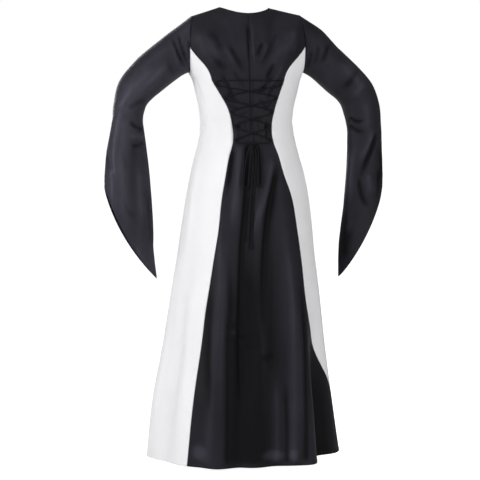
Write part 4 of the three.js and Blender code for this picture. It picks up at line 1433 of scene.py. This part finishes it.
@dataclass
class BodyPanels:
    """The cut pieces of bodice and skirt: two backs, two sides and the front.

    A crease of painted_shading_crease mm or a fold of painted_shading_fold mm has the full painted shading:
    painted shade in a hollow and a painted highlight on a crest. The skirt is painted darker downwards by
    low_shade, a painted shade for the light that falls off towards the hem. Each cut is its flat width and
    length in m and its area in square metres.
    """

    wardrobe: Wardrobe
    stitch: Stitch
    skirt_rows: int = 132
    bodice_rows: int = 62
    yoke_rows: int = 56
    half_columns: int = 58
    side_columns: int = 54
    stitch_line: float = 10.0
    neck_stitch_line: float = 5.0
    calm_top: float = 14.0
    middle_seam_hides: tuple[float, float] = (440, 560)
    hidden_distance: float = 4.0
    painted_shading_crease: float = 6.0
    painted_shading_fold: float = 60.0
    painted_shading_range: tuple[float, float] = (-0.88, 1)
    low_shade: float = 0.3
    low_shade_from: tuple[float, float] = (620, 1250)
    cuts: dict[str, tuple[float, float, float]] = field(
        default_factory=lambda: {
            "back_left": (0.37, 1.48, 0.28),
            "back_right": (0.36, 1.51, 0.255),
            "side_left": (0.34, 1.36, 0.37),
            "side_right": (0.34, 1.39, 0.36),
            "front": (0.56, 1.49, 0.49),
        }
    )

    def rows(self) -> np.ndarray:
        """Row numbers from hem to top edge, close together at the hem and at the top."""
        span = YOKE - HEM
        hem = np.array([0, 0.8, 2.2, 4.5, 7.5, 9.2, 10.0, 10.8, 12.5, 16, 22, 30, 38]) / span
        hip = (HIP - HEM) / span
        skirt = np.linspace(46 / span, hip, self.skirt_rows)
        bodice = np.linspace(hip, 1, self.bodice_rows + 1)[1:]
        yoke = refined(1, 2, self.yoke_rows, (0.99,))[1:]
        top = 2 - np.array([0.7, 0.4, 0.15]) / self.yoke_rows
        return np.unique(np.concatenate([hem, skirt, bodice, yoke, top]))

    def plain_surface(
        self, form: BodyForm, column: np.ndarray, row: np.ndarray
    ) -> tuple[np.ndarray, np.ndarray]:
        """Points and normals without creases: even at the middle seams and rounded over the shoulders."""
        plain, normals = form.point(column, row), form.normal(column, row)
        shared = unit(normals + BodyForm(Hand(-form.hand.value)).normal(column, row))
        normals = np.where(((column == 0) | (column == FRONT_MIDDLE))[..., None], shared, normals)
        near = from_middle(column)
        shoulder = smooth_step(near, 0.25, 0.6) * smooth_step(-near, -2.75, -2.4)
        shoulder = shoulder * smooth_step(row, 1.05, 1.3) * smooth_step(-row, -1.995, -1.94)
        return eased(plain, shoulder), unit(eased(normals, shoulder))

    def seam_distance(self, form: BodyForm, column: np.ndarray, row: np.ndarray, z: np.ndarray,
                      seams: tuple[float, ...]) -> np.ndarray:
        """Each point's distance from the nearest seam, in mm. Low down the middle seam doesn't show."""
        width = np.linalg.norm(form.slopes(column, row)[0], axis=-1)
        nearest = np.min([np.abs(column - seam) * width for seam in seams], axis=0)
        hidden = smooth_step(-z, *self.middle_seam_hides) * (nearest == np.abs(column) * width)
        return nearest + self.hidden_distance * hidden

    def surface(self, hand: Hand, columns: np.ndarray, seams: tuple[float, ...]) -> dict[str, np.ndarray]:
        """The creased cloth of some columns on one side of the body.

        Args:
            hand: the side of the body.
            columns: the columns, in order.
            seams: the columns where seams run.

        Returns:
            Grids of outer points, normals and UV places, the masks, each point's distances from hem and top
            edge, and whether it stands under the neckline.
        """
        form = BodyForm(hand)
        row, column = np.meshgrid(self.rows(), columns, indexing="ij")
        plain, normals = self.plain_surface(form, column, row)
        z = plain[..., 2]
        nearest = self.seam_distance(form, column, row, z, seams)
        from_hem = run_along(plain)
        from_top = from_hem[-1:] - from_hem
        on_neck = from_middle(column) < NECK_POINT
        move = body_swell(plain, normals)
        move = np.minimum(move, move * (1 - lace_bed(plain, normals)))
        calm = smooth_step(from_top, 0, self.calm_top)
        folds = form.fold_depth(form.degrees(column, z), z) * (row <= 1)
        # Painted shade: the skirt is painted darker towards the hem, where less light falls
        shade_below = self.low_shade * smooth_step(-z, *self.low_shade_from)
        # Painted shading: painted shade in the hollows of creases and folds, and a painted highlight on their
        # crests
        painted_shading = move * calm / self.painted_shading_crease + folds / self.painted_shading_fold - shade_below
        move = move * calm + edge_roll(nearest, *SEAM_ROLL) + seam_pucker(nearest, z, 0.16)
        move = move + np.where(on_neck, 0, edge_roll(from_top, *EDGE_ROLL))
        move = move + edge_roll(np.abs(from_hem - self.stitch_line), *HEM_STITCH_ROLL)
        move = move + 0.5 * (1 - smooth_step(from_hem, self.stitch_line - 1, self.stitch_line + 3))
        move = move + np.where(on_neck, edge_roll(np.abs(from_top - self.neck_stitch_line), *STITCH_ROLL), 0)
        on_hem = 0.5 * (1 - smooth_step(from_hem, 0, 1.5))
        return {
            "outer": plain + normals * move[..., None],
            "normals": normals,
            "uv": np.stack([from_centre(run_along(plain, 1)), z], axis=-1),
            "seam": np.maximum(1 - smooth_step(nearest, 0, 2.6), on_hem),
            "painted_shading": np.clip(painted_shading, *self.painted_shading_range),
            "see_through_light": painted_see_through_light(plain, normals),
            "from_hem": from_hem,
            "from_top": from_top,
            "on_neck": on_neck,
        }

    def build(self) -> None:
        """Build the five pieces, each with its stitching."""
        black = (self.wardrobe.black, self.wardrobe.black_thread)
        white = (self.wardrobe.white, self.wardrobe.white_thread)
        for hand in Hand:
            back = self.surface(hand, refined(0, BACK_SEAM, self.half_columns), (0, BACK_SEAM))
            self.panel("back_" + hand.word, "black_cloth", *black, back)
            columns = refined(BACK_SEAM, FRONT_SEAM, self.side_columns)
            side = self.surface(hand, columns, (BACK_SEAM, FRONT_SEAM))
            self.panel("side_" + hand.word, "white_cloth", *white, side)
        columns = refined(FRONT_SEAM, FRONT_MIDDLE, self.half_columns)
        left, right = (self.surface(hand, columns, (FRONT_SEAM,)) for hand in Hand)
        front = {key: np.concatenate([left[key][:, :-1], right[key][:, ::-1]], axis=1) for key in left}
        front["uv"][..., 0] = from_centre(run_along(front["outer"], 1))
        self.panel("front", "black_cloth", *black, front)

    def panel(self, node: str, slot: str, cloth: bpy.types.Material, thread: bpy.types.Material,
              grid: dict[str, np.ndarray]) -> None:
        """Build one cut piece and the stitching of its hem and neck.

        Args:
            node: the solid it stands for.
            slot: the material slot of its cloth.
            cloth: its cloth.
            thread: its sewing thread.
            grid: its surface.
        """
        masks = {key: grid[key] for key in MASKS}
        shell = ClothShell(node + "_cloth", grid["outer"], grid["normals"], grid["uv"], masks)
        piece = seat(shell.build(), slot, cloth, node)
        hem_row = int(np.argmin(np.abs(grid["from_hem"][:, 0] - self.stitch_line)))
        lines = [(grid["outer"][hem_row], grid["normals"][hem_row], False)]
        neck = grid["on_neck"][-1]
        if neck.any():
            level = int(np.argmin(np.abs(grid["from_top"][:, 0] - self.neck_stitch_line)))
            lines.append((grid["outer"][level][neck], grid["normals"][level][neck], False))
        sewn = seat(self.stitch.sew(node + "_stitching", lines), slot, thread)


# Painted light on each sleeve's cloth between its folds, where 1 is the crest of a fold: the left sleeve is
# painted lighter for the light that falls on it
SLEEVE_PAINTED_LIGHT = {Hand.LEFT: 0.75, Hand.RIGHT: 0.1}


@dataclass
class Sleeve:
    """One long sleeve, from its seam at the armhole to the point over the hand.

    The degree lengths are how far one degree reaches round the sleeve, in mm: on average and at the underarm.
    """

    hand: Hand
    wardrobe: Wardrobe
    stitch: Stitch
    rings: int = 176
    around: int = 96
    stitch_line: float = 6.0
    degree_length: float = 1.1
    underarm_degree_length: float = 1.6
    painted_shading_crease: float = 5.0
    painted_shading_range: tuple[float, float] = (-0.8, 1.8)
    flat: tuple[float, float] = (0.42, 0.90)
    area: float = 0.25

    def build(self) -> None:
        """Build the sleeve and the stitching of its cuff."""
        form = SLEEVES[self.hand]
        last = form.last
        ring_places = np.concatenate([
            [0, 0.012, 0.03, 0.055],
            np.linspace(0.09, last - 0.12, self.rings),
            last - np.array([0.09, 0.07, 0.05, 0.03, 0.015, 0]),
        ])
        columns = 2 + 4 * np.arange(self.around) / self.around
        degrees = np.interp(columns, ARMHOLE_COLUMNS, ARMHOLE_DEGREES)
        ring, turn = np.meshgrid(ring_places, degrees, indexing="ij")
        plain, normals = form.point(turn, ring), form.normal(turn, ring)
        run = run_along(plain)
        from_cuff = run[-1:] - run
        move = sleeve_swell(plain, normals) * smooth_step(run, 0, 10) * smooth_step(from_cuff, 0, 8)
        # Painted shading of the sleeve: painted shade in hollows, a painted highlight on crests, and painted
        # light that lifts the whole left sleeve
        painted_shading = np.clip(move / self.painted_shading_crease + SLEEVE_PAINTED_LIGHT[self.hand], *self.painted_shading_range)
        around = turn * self.degree_length
        move = move + edge_roll(run, *EDGE_ROLL) + seam_pucker(run, around, 0.25)
        move = move + edge_roll(np.abs(from_cuff - self.stitch_line), *STITCH_ROLL)
        underarm = np.abs(turn - 180) * self.underarm_degree_length
        move = move + edge_roll(underarm, *UNDERARM_ROLL)
        outer = plain + normals * move[..., None]
        seam = np.maximum(1 - smooth_step(run, 0, 2.6), 0.6 * (1 - smooth_step(underarm, 0, 2.0)))
        uv = np.stack([around, -run], axis=-1)
        uv = np.concatenate([uv, uv[:, :1] + np.array([360 * self.degree_length, 0])], axis=1)
        masks = {"seam": seam, "painted_shading": painted_shading, "see_through_light": np.zeros_like(painted_shading)}
        shell = ClothShell("sleeve_" + self.hand.word + "_cloth", outer, normals, uv, masks, closed=True)
        piece = seat(shell.build(), "black_cloth", self.wardrobe.black, "sleeve_" + self.hand.word)
        level = int(np.argmin(np.abs(from_cuff[:, 0] - self.stitch_line)))
        sewn = self.stitch.sew("cuff_stitching_" + self.hand.word, [(outer[level], normals[level], True)])
        seat(sewn, "black_cloth", self.wardrobe.black_thread)


@dataclass(frozen=True)
class BackPlace:
    """Places on the laced part of the back, between the loops beside the two back seams."""

    inset: float = 10.0

    def point(self, across: float, z: float, lift: float) -> np.ndarray:
        """A place on the back.

        Args:
            across: 1 at the left loops and -1 at the right loops.
            z: its height in mm.
            lift: how far off the cloth it lies, in mm.

        Returns:
            The place, in mm.
        """
        form = BodyForm(Hand.LEFT)
        height = np.array(float(z))
        inset = math.degrees(self.inset / float(RINGS.read("width", height)))
        left = float(SEAMS.read("back_left", height)) - inset
        right = inset - float(SEAMS.read("back_right", height))
        degrees = right + (left - right) * (across + 1) / 2

        def ring(turn: float, rise: float) -> np.ndarray:
            """A place on the plain ring near this one."""
            return form.ring_point(np.array(degrees + turn), height + rise)

        out = unit(np.cross(ring(0, 2) - ring(0, -2), ring(1, 0) - ring(-1, 0)))
        return ring(0, 0) + out * lift


@dataclass
class CordTube:
    """A round cord along a smooth route, with a UV map round and along it.

    The ends are the rings that round it: the size of each and how far out it stands, as shares of the radius.
    end_depth flattens them.
    """

    name: str
    route: np.ndarray
    diameter: float
    sides: int = 12
    step: float = 1.6
    ends: tuple[tuple[float, float], ...] = ((0.55, 0.75), (0.9, 0.35))
    end_depth: float = 0.6

    def centreline(self) -> np.ndarray:
        """The route, smoothed between its points and cut into short steps."""
        points = np.array(self.route, float)
        gaps = np.sqrt(np.linalg.norm(np.diff(points, axis=0), axis=1))
        knots = np.concatenate([[0], np.cumsum(gaps)])
        padded = np.vstack([2 * points[0] - points[1], points, 2 * points[-1] - points[-2]])
        times = np.concatenate([[-gaps[0]], knots, [knots[-1] + gaps[-1]]])
        smooth = []
        for k in range(1, len(points)):
            p0, p1, p2, p3 = padded[k - 1 : k + 3]
            t0, t1, t2, t3 = times[k - 1 : k + 3]
            count = max(int(np.linalg.norm(p2 - p1) / self.step), 1)
            for t in t1 + (t2 - t1) * np.arange(count) / count:
                a1 = (t1 - t) / (t1 - t0) * p0 + (t - t0) / (t1 - t0) * p1
                a2 = (t2 - t) / (t2 - t1) * p1 + (t - t1) / (t2 - t1) * p2
                a3 = (t3 - t) / (t3 - t2) * p2 + (t - t2) / (t3 - t2) * p3
                b1 = (t2 - t) / (t2 - t0) * a1 + (t - t0) / (t2 - t0) * a2
                b2 = (t3 - t) / (t3 - t1) * a2 + (t - t1) / (t3 - t1) * a3
                smooth.append((t2 - t) / (t2 - t1) * b1 + (t - t1) / (t2 - t1) * b2)
        return np.array(smooth + [points[-1]])

    def rings(self) -> tuple[list[np.ndarray], list[float]]:
        """The tube's rings of points, smaller where they round its ends, and how far along each one lies."""
        line = self.centreline()
        tangent = unit(np.gradient(line, axis=0))
        side = unit(np.cross(tangent[0], (0.3, 0.8, 0.5)))
        radius = self.diameter / 2
        angles = math.tau * np.arange(self.sides) / self.sides
        rings, lengths, run = [], [], 0.0
        for index, (place, ahead) in enumerate(zip(line, tangent)):
            side = unit(side - ahead * (side @ ahead))
            circle = np.outer(np.cos(angles), side) + np.outer(np.sin(angles), np.cross(ahead, side))
            if index:
                run += float(np.linalg.norm(place - line[index - 1]))
            before = [(scale, -depth) for scale, depth in self.ends] if index == 0 else []
            after = list(self.ends[::-1]) if index == len(line) - 1 else []
            for scale, depth in (*before, (1, 0), *after):
                rings.append(place + circle * radius * scale + ahead * radius * depth * self.end_depth)
                lengths.append(run)
        return rings, lengths

    def build(self) -> bpy.types.Object:
        """Make the tube, with rounded ends."""
        rings, lengths = self.rings()
        faces, places = [], []
        for ring, (low, high) in enumerate(zip(lengths[:-1], lengths[1:])):
            low, high = low * MM, high * MM
            first, second = ring * self.sides, (ring + 1) * self.sides
            for k in range(self.sides):
                after = (k + 1) % self.sides
                faces.append((first + k, first + after, second + after, second + k))
                left, right = k / self.sides, (k + 1) / self.sides
                places += [(left, low), (right, low), (right, high), (left, high)]
        for ring in (0, len(rings) - 1):
            corners = [ring * self.sides + k for k in range(self.sides)]
            faces.append(tuple(corners if ring else reversed(corners)))
            places += [(0.0, lengths[ring] * MM)] * self.sides
        mesh = bpy.data.meshes.new(self.name)
        mesh.from_pydata((np.vstack(rings) * MM).tolist(), [], faces)
        layer = mesh.uv_layers.new(name="Cord")
        layer.data.foreach_set("uv", np.array(places, np.float32).ravel())
        piece = stand(mesh, 60)
        turn_out(piece)
        return piece


@dataclass
class Lacing:
    """The loops beside the back seams, the lace that crosses between them, its knot, bow and free ends.

    Sizes are in mm. The knot's core is a share of its size, each of its turns has a shift and a lean, and
    knot_entry are the places from which a strand goes in. The tip is the radius and height of an end knot.
    """

    wardrobe: Wardrobe
    stitch: Stitch
    place: BackPlace = field(default_factory=BackPlace)
    loops: int = 5
    loop_top: float = -242.0
    loop_bottom: float = -416.0
    loop_radius: float = 6.8
    loop_width: float = 2.6
    loop_lift: float = 0.9
    foot_depth: float = 0.6
    tack_reach: float = 2.6
    tack_lift: float = 1.1
    tack_shift: float = 0.8
    passing: float = 5.0
    knot_size: tuple[float, float, float] = (11.0, 7.0, 8.0)
    knot_height: float = -427.0
    knot_core: tuple[float, float, float] = (0.86, 0.62, 0.7)
    knot_turns: tuple[tuple[float, float], ...] = ((-3.2, 0.30), (1.2, 0.22), (5.4, -0.25))
    knot_entry: tuple[tuple[float, float, float], ...] = ((12, -3, 1), (5, -1, 0), (0, 0, 0))
    clearance: float = 0.6
    over_clearance: float = 0.8
    bar_rise: float = 12.0
    bar_end: float = 0.764
    tip: tuple[float, float] = (3.6, 4.6)
    tip_turn: float = 0.62
    tip_tail: tuple[float, ...] = (0.9, 1.6, 2.3)

    def height(self, index: int) -> float:
        """Height of one pair of loops."""
        return self.loop_top + (self.loop_bottom - self.loop_top) * index / (self.loops - 1)

    def build(self) -> None:
        """Build all the lacing's pieces."""
        for hand in Hand:
            for index in range(self.loops):
                self.loop(hand, index)
        lift, crossing = LACE_WIDTH / 2 + self.clearance, LACE_WIDTH + self.over_clearance
        bar = self.height(0) + self.bar_rise
        top = [self.place.point(across, bar, lift) for across in np.linspace(-1, self.bar_end, 10)]
        left = top + self.strand(1, 0, lift, crossing) + self.into_knot(1)
        right = [self.place.point(-1, bar - LACE_WIDTH * 0.65, lift)]
        right += self.strand(-1, 1, lift, crossing) + self.into_knot(-1)
        for name, route in (("lace_left_strand", left), ("lace_right_strand", right)):
            self.tube(name + "_cord", np.array(route), name)
        self.knot()
        for name, route in HANGING.items():
            self.hanging(name, np.array(route, float))

    def tube(self, name: str, route: np.ndarray, *nodes: str) -> bpy.types.Object:
        """A stretch of lace in the black cord finish."""
        return seat(CordTube(name, route, LACE_WIDTH).build(), "lace", self.wardrobe.cord, *nodes)

    def loop(self, hand: Hand, index: int) -> None:
        """One small loop of cord, with the stitches that hold its two feet."""
        z, sign = self.height(index), hand.value
        middle = self.place.point(sign, z, 0)
        out = unit(self.place.point(sign, z, 1) - middle)
        along = unit(self.place.point(sign + 0.01, z, 0) - self.place.point(sign - 0.01, z, 0))
        angles = np.linspace(0, math.pi, 13)
        arch = [
            middle
            + along * math.cos(a) * self.loop_radius
            + out * (math.sin(a) * self.loop_radius + self.loop_lift)
            for a in angles
        ]
        feet = [middle + along * k * self.loop_radius - out * self.foot_depth for k in (1, -1)]
        node = f"loop_{hand.word}_{index + 1}"
        tube = CordTube(node + "_cord", np.array([feet[0], *arch, feet[1]]), self.loop_width, 10, 1.0)
        seat(tube.build(), "lace", self.wardrobe.cord, node)
        up = unit(np.cross(out, along))
        rows = []
        for foot in feet:
            for shift in (-self.tack_shift, self.tack_shift):
                start = foot + out * self.tack_lift + along * shift - up * self.tack_reach
                route = np.array([start, start + up * (2 * self.tack_reach)])
                rows.append((route, np.array([out, out]), False))
        seat(self.stitch.sew(node + "_tack", rows), "lace", self.wardrobe.black_thread)

    def strand(self, start: int, over: int, lift: float, crossing: float) -> list[np.ndarray]:
        """One strand from its top loop down to the last, crossing to the other side at each step.

        Args:
            start: the side of its first loop.
            over: 0 or 1, the steps in which it passes over the other strand.
            lift: its middle's height off the cloth.
            crossing: how much higher it lies where it passes over.

        Returns:
            The strand's route, in mm.
        """
        points = []
        for index in range(self.loops):
            side = start * (-1 if index % 2 else 1)
            below = self.height(index) - self.passing
            points += [self.place.point(side, self.height(index) + self.passing, lift),
                       self.place.point(side, below, lift)]
            if index == self.loops - 1:
                break
            drop = self.height(index + 1) + self.passing - below
            for t in np.linspace(0.05, 0.95, 10):
                rise = crossing * math.exp(-(((t - 0.5) / 0.13) ** 2)) if index % 2 == over else 0
                points.append(self.place.point(side * (1 - 2 * t), below + drop * t, lift + rise))
        return points

    def knot_middle(self) -> np.ndarray:
        """The middle of the knot, in mm."""
        return self.place.point(0, self.knot_height, self.knot_size[1] + 0.8)

    def into_knot(self, side: int) -> list[np.ndarray]:
        """The last stretch of a strand, into the side of the knot."""
        x, y, z = self.knot_middle()
        end = x + side * (self.knot_size[0] - 2)
        return [np.array([end + side * out, y + back, z + up]) for out, back, up in self.knot_entry]

    def knot(self) -> None:
        """The knot of the bow: a wound core with the turns of lace that tie it."""
        middle, (_, deep, high) = self.knot_middle(), self.knot_size
        bpy.ops.object.select_all(action="DESELECT")
        bpy.ops.mesh.primitive_uv_sphere_add(segments=32, ring_count=20, radius=1)
        core = bpy.context.active_object
        core.name = core.data.name = "lace_knot_core"
        size = tuple(own * share * MM for own, share in zip(self.knot_size, self.knot_core))
        resize_active(size, tuple(middle * MM))
        core.data.uv_layers[0].name = "Cord"
        shade(core, 60)
        seat(core, "lace", self.wardrobe.cord, "lace_knot")
        turn = np.linspace(0, math.tau, 25)[:-1]
        for index, (shift, lean) in enumerate(self.knot_turns):
            grow = 1 - 0.03 * abs(shift)
            ring = np.stack([shift + lean * high * np.sin(turn),
                             (deep - 1.6) * grow * np.cos(turn) - 0.2,
                             (high - 1.7) * grow * np.sin(turn)], 1)
            route = middle + np.vstack([ring, ring[:2]])
            tube = CordTube(f"lace_knot_turn_{index + 1}", route, LACE_WIDTH * 0.92)
            seat(tube.build(), "lace", self.wardrobe.cord)

    def hanging(self, name: str, route: np.ndarray) -> None:
        """A bow loop, or a free end of the lace with its small end knot."""
        tube = self.tube(name + "_cord", route, name)
        if name.startswith("bow"):
            return
        knot = self.end_knot(name, route)

    def end_knot(self, name: str, route: np.ndarray) -> bpy.types.Object:
        """The overhand knot at a free end: crossed turns of cord and a short cut tail."""
        radius, height = self.tip
        onwards = unit(route[-1] - route[-2])
        middle = route[-1] + onwards * (height * self.tip_tail[0])
        side = unit(np.cross(onwards, (0, 1, 0.2)))
        front = np.cross(side, onwards)
        turn = np.linspace(0, math.tau * 2, 41)
        spiral = [
            middle
            + side * math.cos(t) * radius * self.tip_turn
            + front * math.sin(t) * radius * self.tip_turn
            + onwards * height * (0.55 * math.sin(t * 1.5 + 0.6))
            for t in turn
        ]
        tail = [middle + onwards * height * k for k in self.tip_tail]
        node = name.replace("lace_end", "tip_knot")
        shape = CordTube(node + "_cord", np.array([route[-1], *spiral, *tail]), LACE_WIDTH * 0.8, 12, 0.9)
        return seat(shape.build(), "lace", self.wardrobe.cord, node)


# Soft square lights: name, place in m, size in m and power in W
LIGHTS = (
    ("key", (4.2, 2.0, 0.6), 1.6, 124),
    ("fill", (-2.0, 4.6, 0.3), 3.0, 103),
    ("front", (0.6, -4.2, 0.8), 3.0, 70),
    ("top", (0.2, 0.8, 3.2), 2.2, 30),
)


@dataclass
class Studio:
    """The camera, the soft lights and the pale floor. Lengths are in m and the turn is in degrees."""

    turned: float = 167.0
    distance: float = 5.0
    camera_height: float = -0.310
    aim_height: float = -0.735
    aim_across: float = 0.012
    metres_per_pixel: float = 0.00319
    pixels: int = 480
    sensor_width: float = 36.0
    light_aim_height: float = -0.7
    floor_height: float = -1.462
    floor_radius: float = 60.0
    floor_glow: float = 0.95
    surrounding_light: float = 0.18

    def camera(self) -> None:
        """Place the camera at the photographed angle and framing."""
        angle = math.radians(self.turned)
        eye = Vector((self.distance * math.sin(angle), -self.distance * math.cos(angle), self.camera_height))
        right = Vector((math.cos(angle), math.sin(angle), 0))
        aim = Vector((0, 0, self.aim_height)) - right * self.aim_across
        bpy.ops.object.camera_add(location=eye)
        camera = bpy.context.active_object
        camera.rotation_euler = (aim - eye).to_track_quat("-Z", "Y").to_euler()
        camera.data.sensor_width = self.sensor_width
        camera.data.lens = self.sensor_width * (aim - eye).length / (self.pixels * self.metres_per_pixel)
        camera.data.clip_end = 200
        bpy.context.scene.camera = camera

    def light(self, name: str, place: tuple[float, float, float], size: float, power: float) -> None:
        """A soft square light that looks at the middle of the dress."""
        bpy.ops.object.light_add(type="AREA", location=place)
        lamp = bpy.context.active_object
        lamp.name = name
        lamp.data.size = size
        lamp.data.energy = power
        aim = Vector((0, 0, self.light_aim_height)) - Vector(place)
        lamp.rotation_euler = aim.to_track_quat("-Z", "Y").to_euler()

    def world(self) -> None:
        """An even pale surrounding, brighter to the camera than it lights."""
        world = bpy.data.worlds.new("studio")
        world.use_nodes = True
        bpy.context.scene.world = world
        board = NodeBoard(world.node_tree)
        out = world.node_tree.nodes["World Output"]
        glow = world.node_tree.nodes["Background"]
        glow.inputs["Color"].default_value = (1, 1, 1, 1)
        glow.inputs["Strength"].default_value = self.surrounding_light
        seen = board.add("ShaderNodeBackground", Color=(1, 1, 1, 1), Strength=1.0)
        mix = board.add("ShaderNodeMixShader")
        ray = board.add("ShaderNodeLightPath")
        board.link(ray.outputs["Is Camera Ray"], mix.inputs[0])
        board.link(glow.outputs[0], mix.inputs[1])
        board.link(seen.outputs[0], mix.inputs[2])
        board.link(mix.outputs[0], out.inputs["Surface"])

    def floor(self) -> None:
        """A wide pale floor just below the hem."""
        bpy.ops.mesh.primitive_circle_add(vertices=96, radius=self.floor_radius, fill_type="NGON")
        floor = bpy.context.active_object
        floor.name = "floor"
        floor.location.z = self.floor_height
        material, board = new_material("pale_floor")
        shader = board.shader
        noise = board.add("ShaderNodeTexNoise", Scale=3.0, Detail=3.0)
        pale = board.ramp(noise.outputs[0], (0, (0.90, 0.90, 0.90)), (1, (0.95, 0.95, 0.95)))
        board.link(pale, shader.inputs["Base Color"])
        shader.inputs["Roughness"].default_value = 0.9
        shader.inputs["Emission Color"].default_value = (1, 1, 1, 1)
        ray = board.add("ShaderNodeLightPath")
        glow = board.math("MULTIPLY", ray.outputs["Is Camera Ray"], self.floor_glow)
        board.link(glow, shader.inputs["Emission Strength"])
        floor.data.materials.append(material)

    def build(self) -> None:
        """Set up the whole studio."""
        bpy.context.scene.view_settings.view_transform = "Standard"
        self.camera()
        self.world()
        self.floor()
        for lamp in LIGHTS:
            self.light(*lamp)


def main() -> None:
    """Build the studio and the dress, in order."""
    logging.basicConfig(level=logging.INFO, format="%(name)s: %(message)s")
    bpy.ops.object.select_all(action="DESELECT")
    Studio().build()
    wardrobe, stitch = Wardrobe(), Stitch()
    Lacing(wardrobe, stitch).build()
    BodyPanels(wardrobe, stitch).build()
    for hand in Hand:
        Sleeve(hand, wardrobe, stitch).build()


if __name__ == "__main__":
    main()
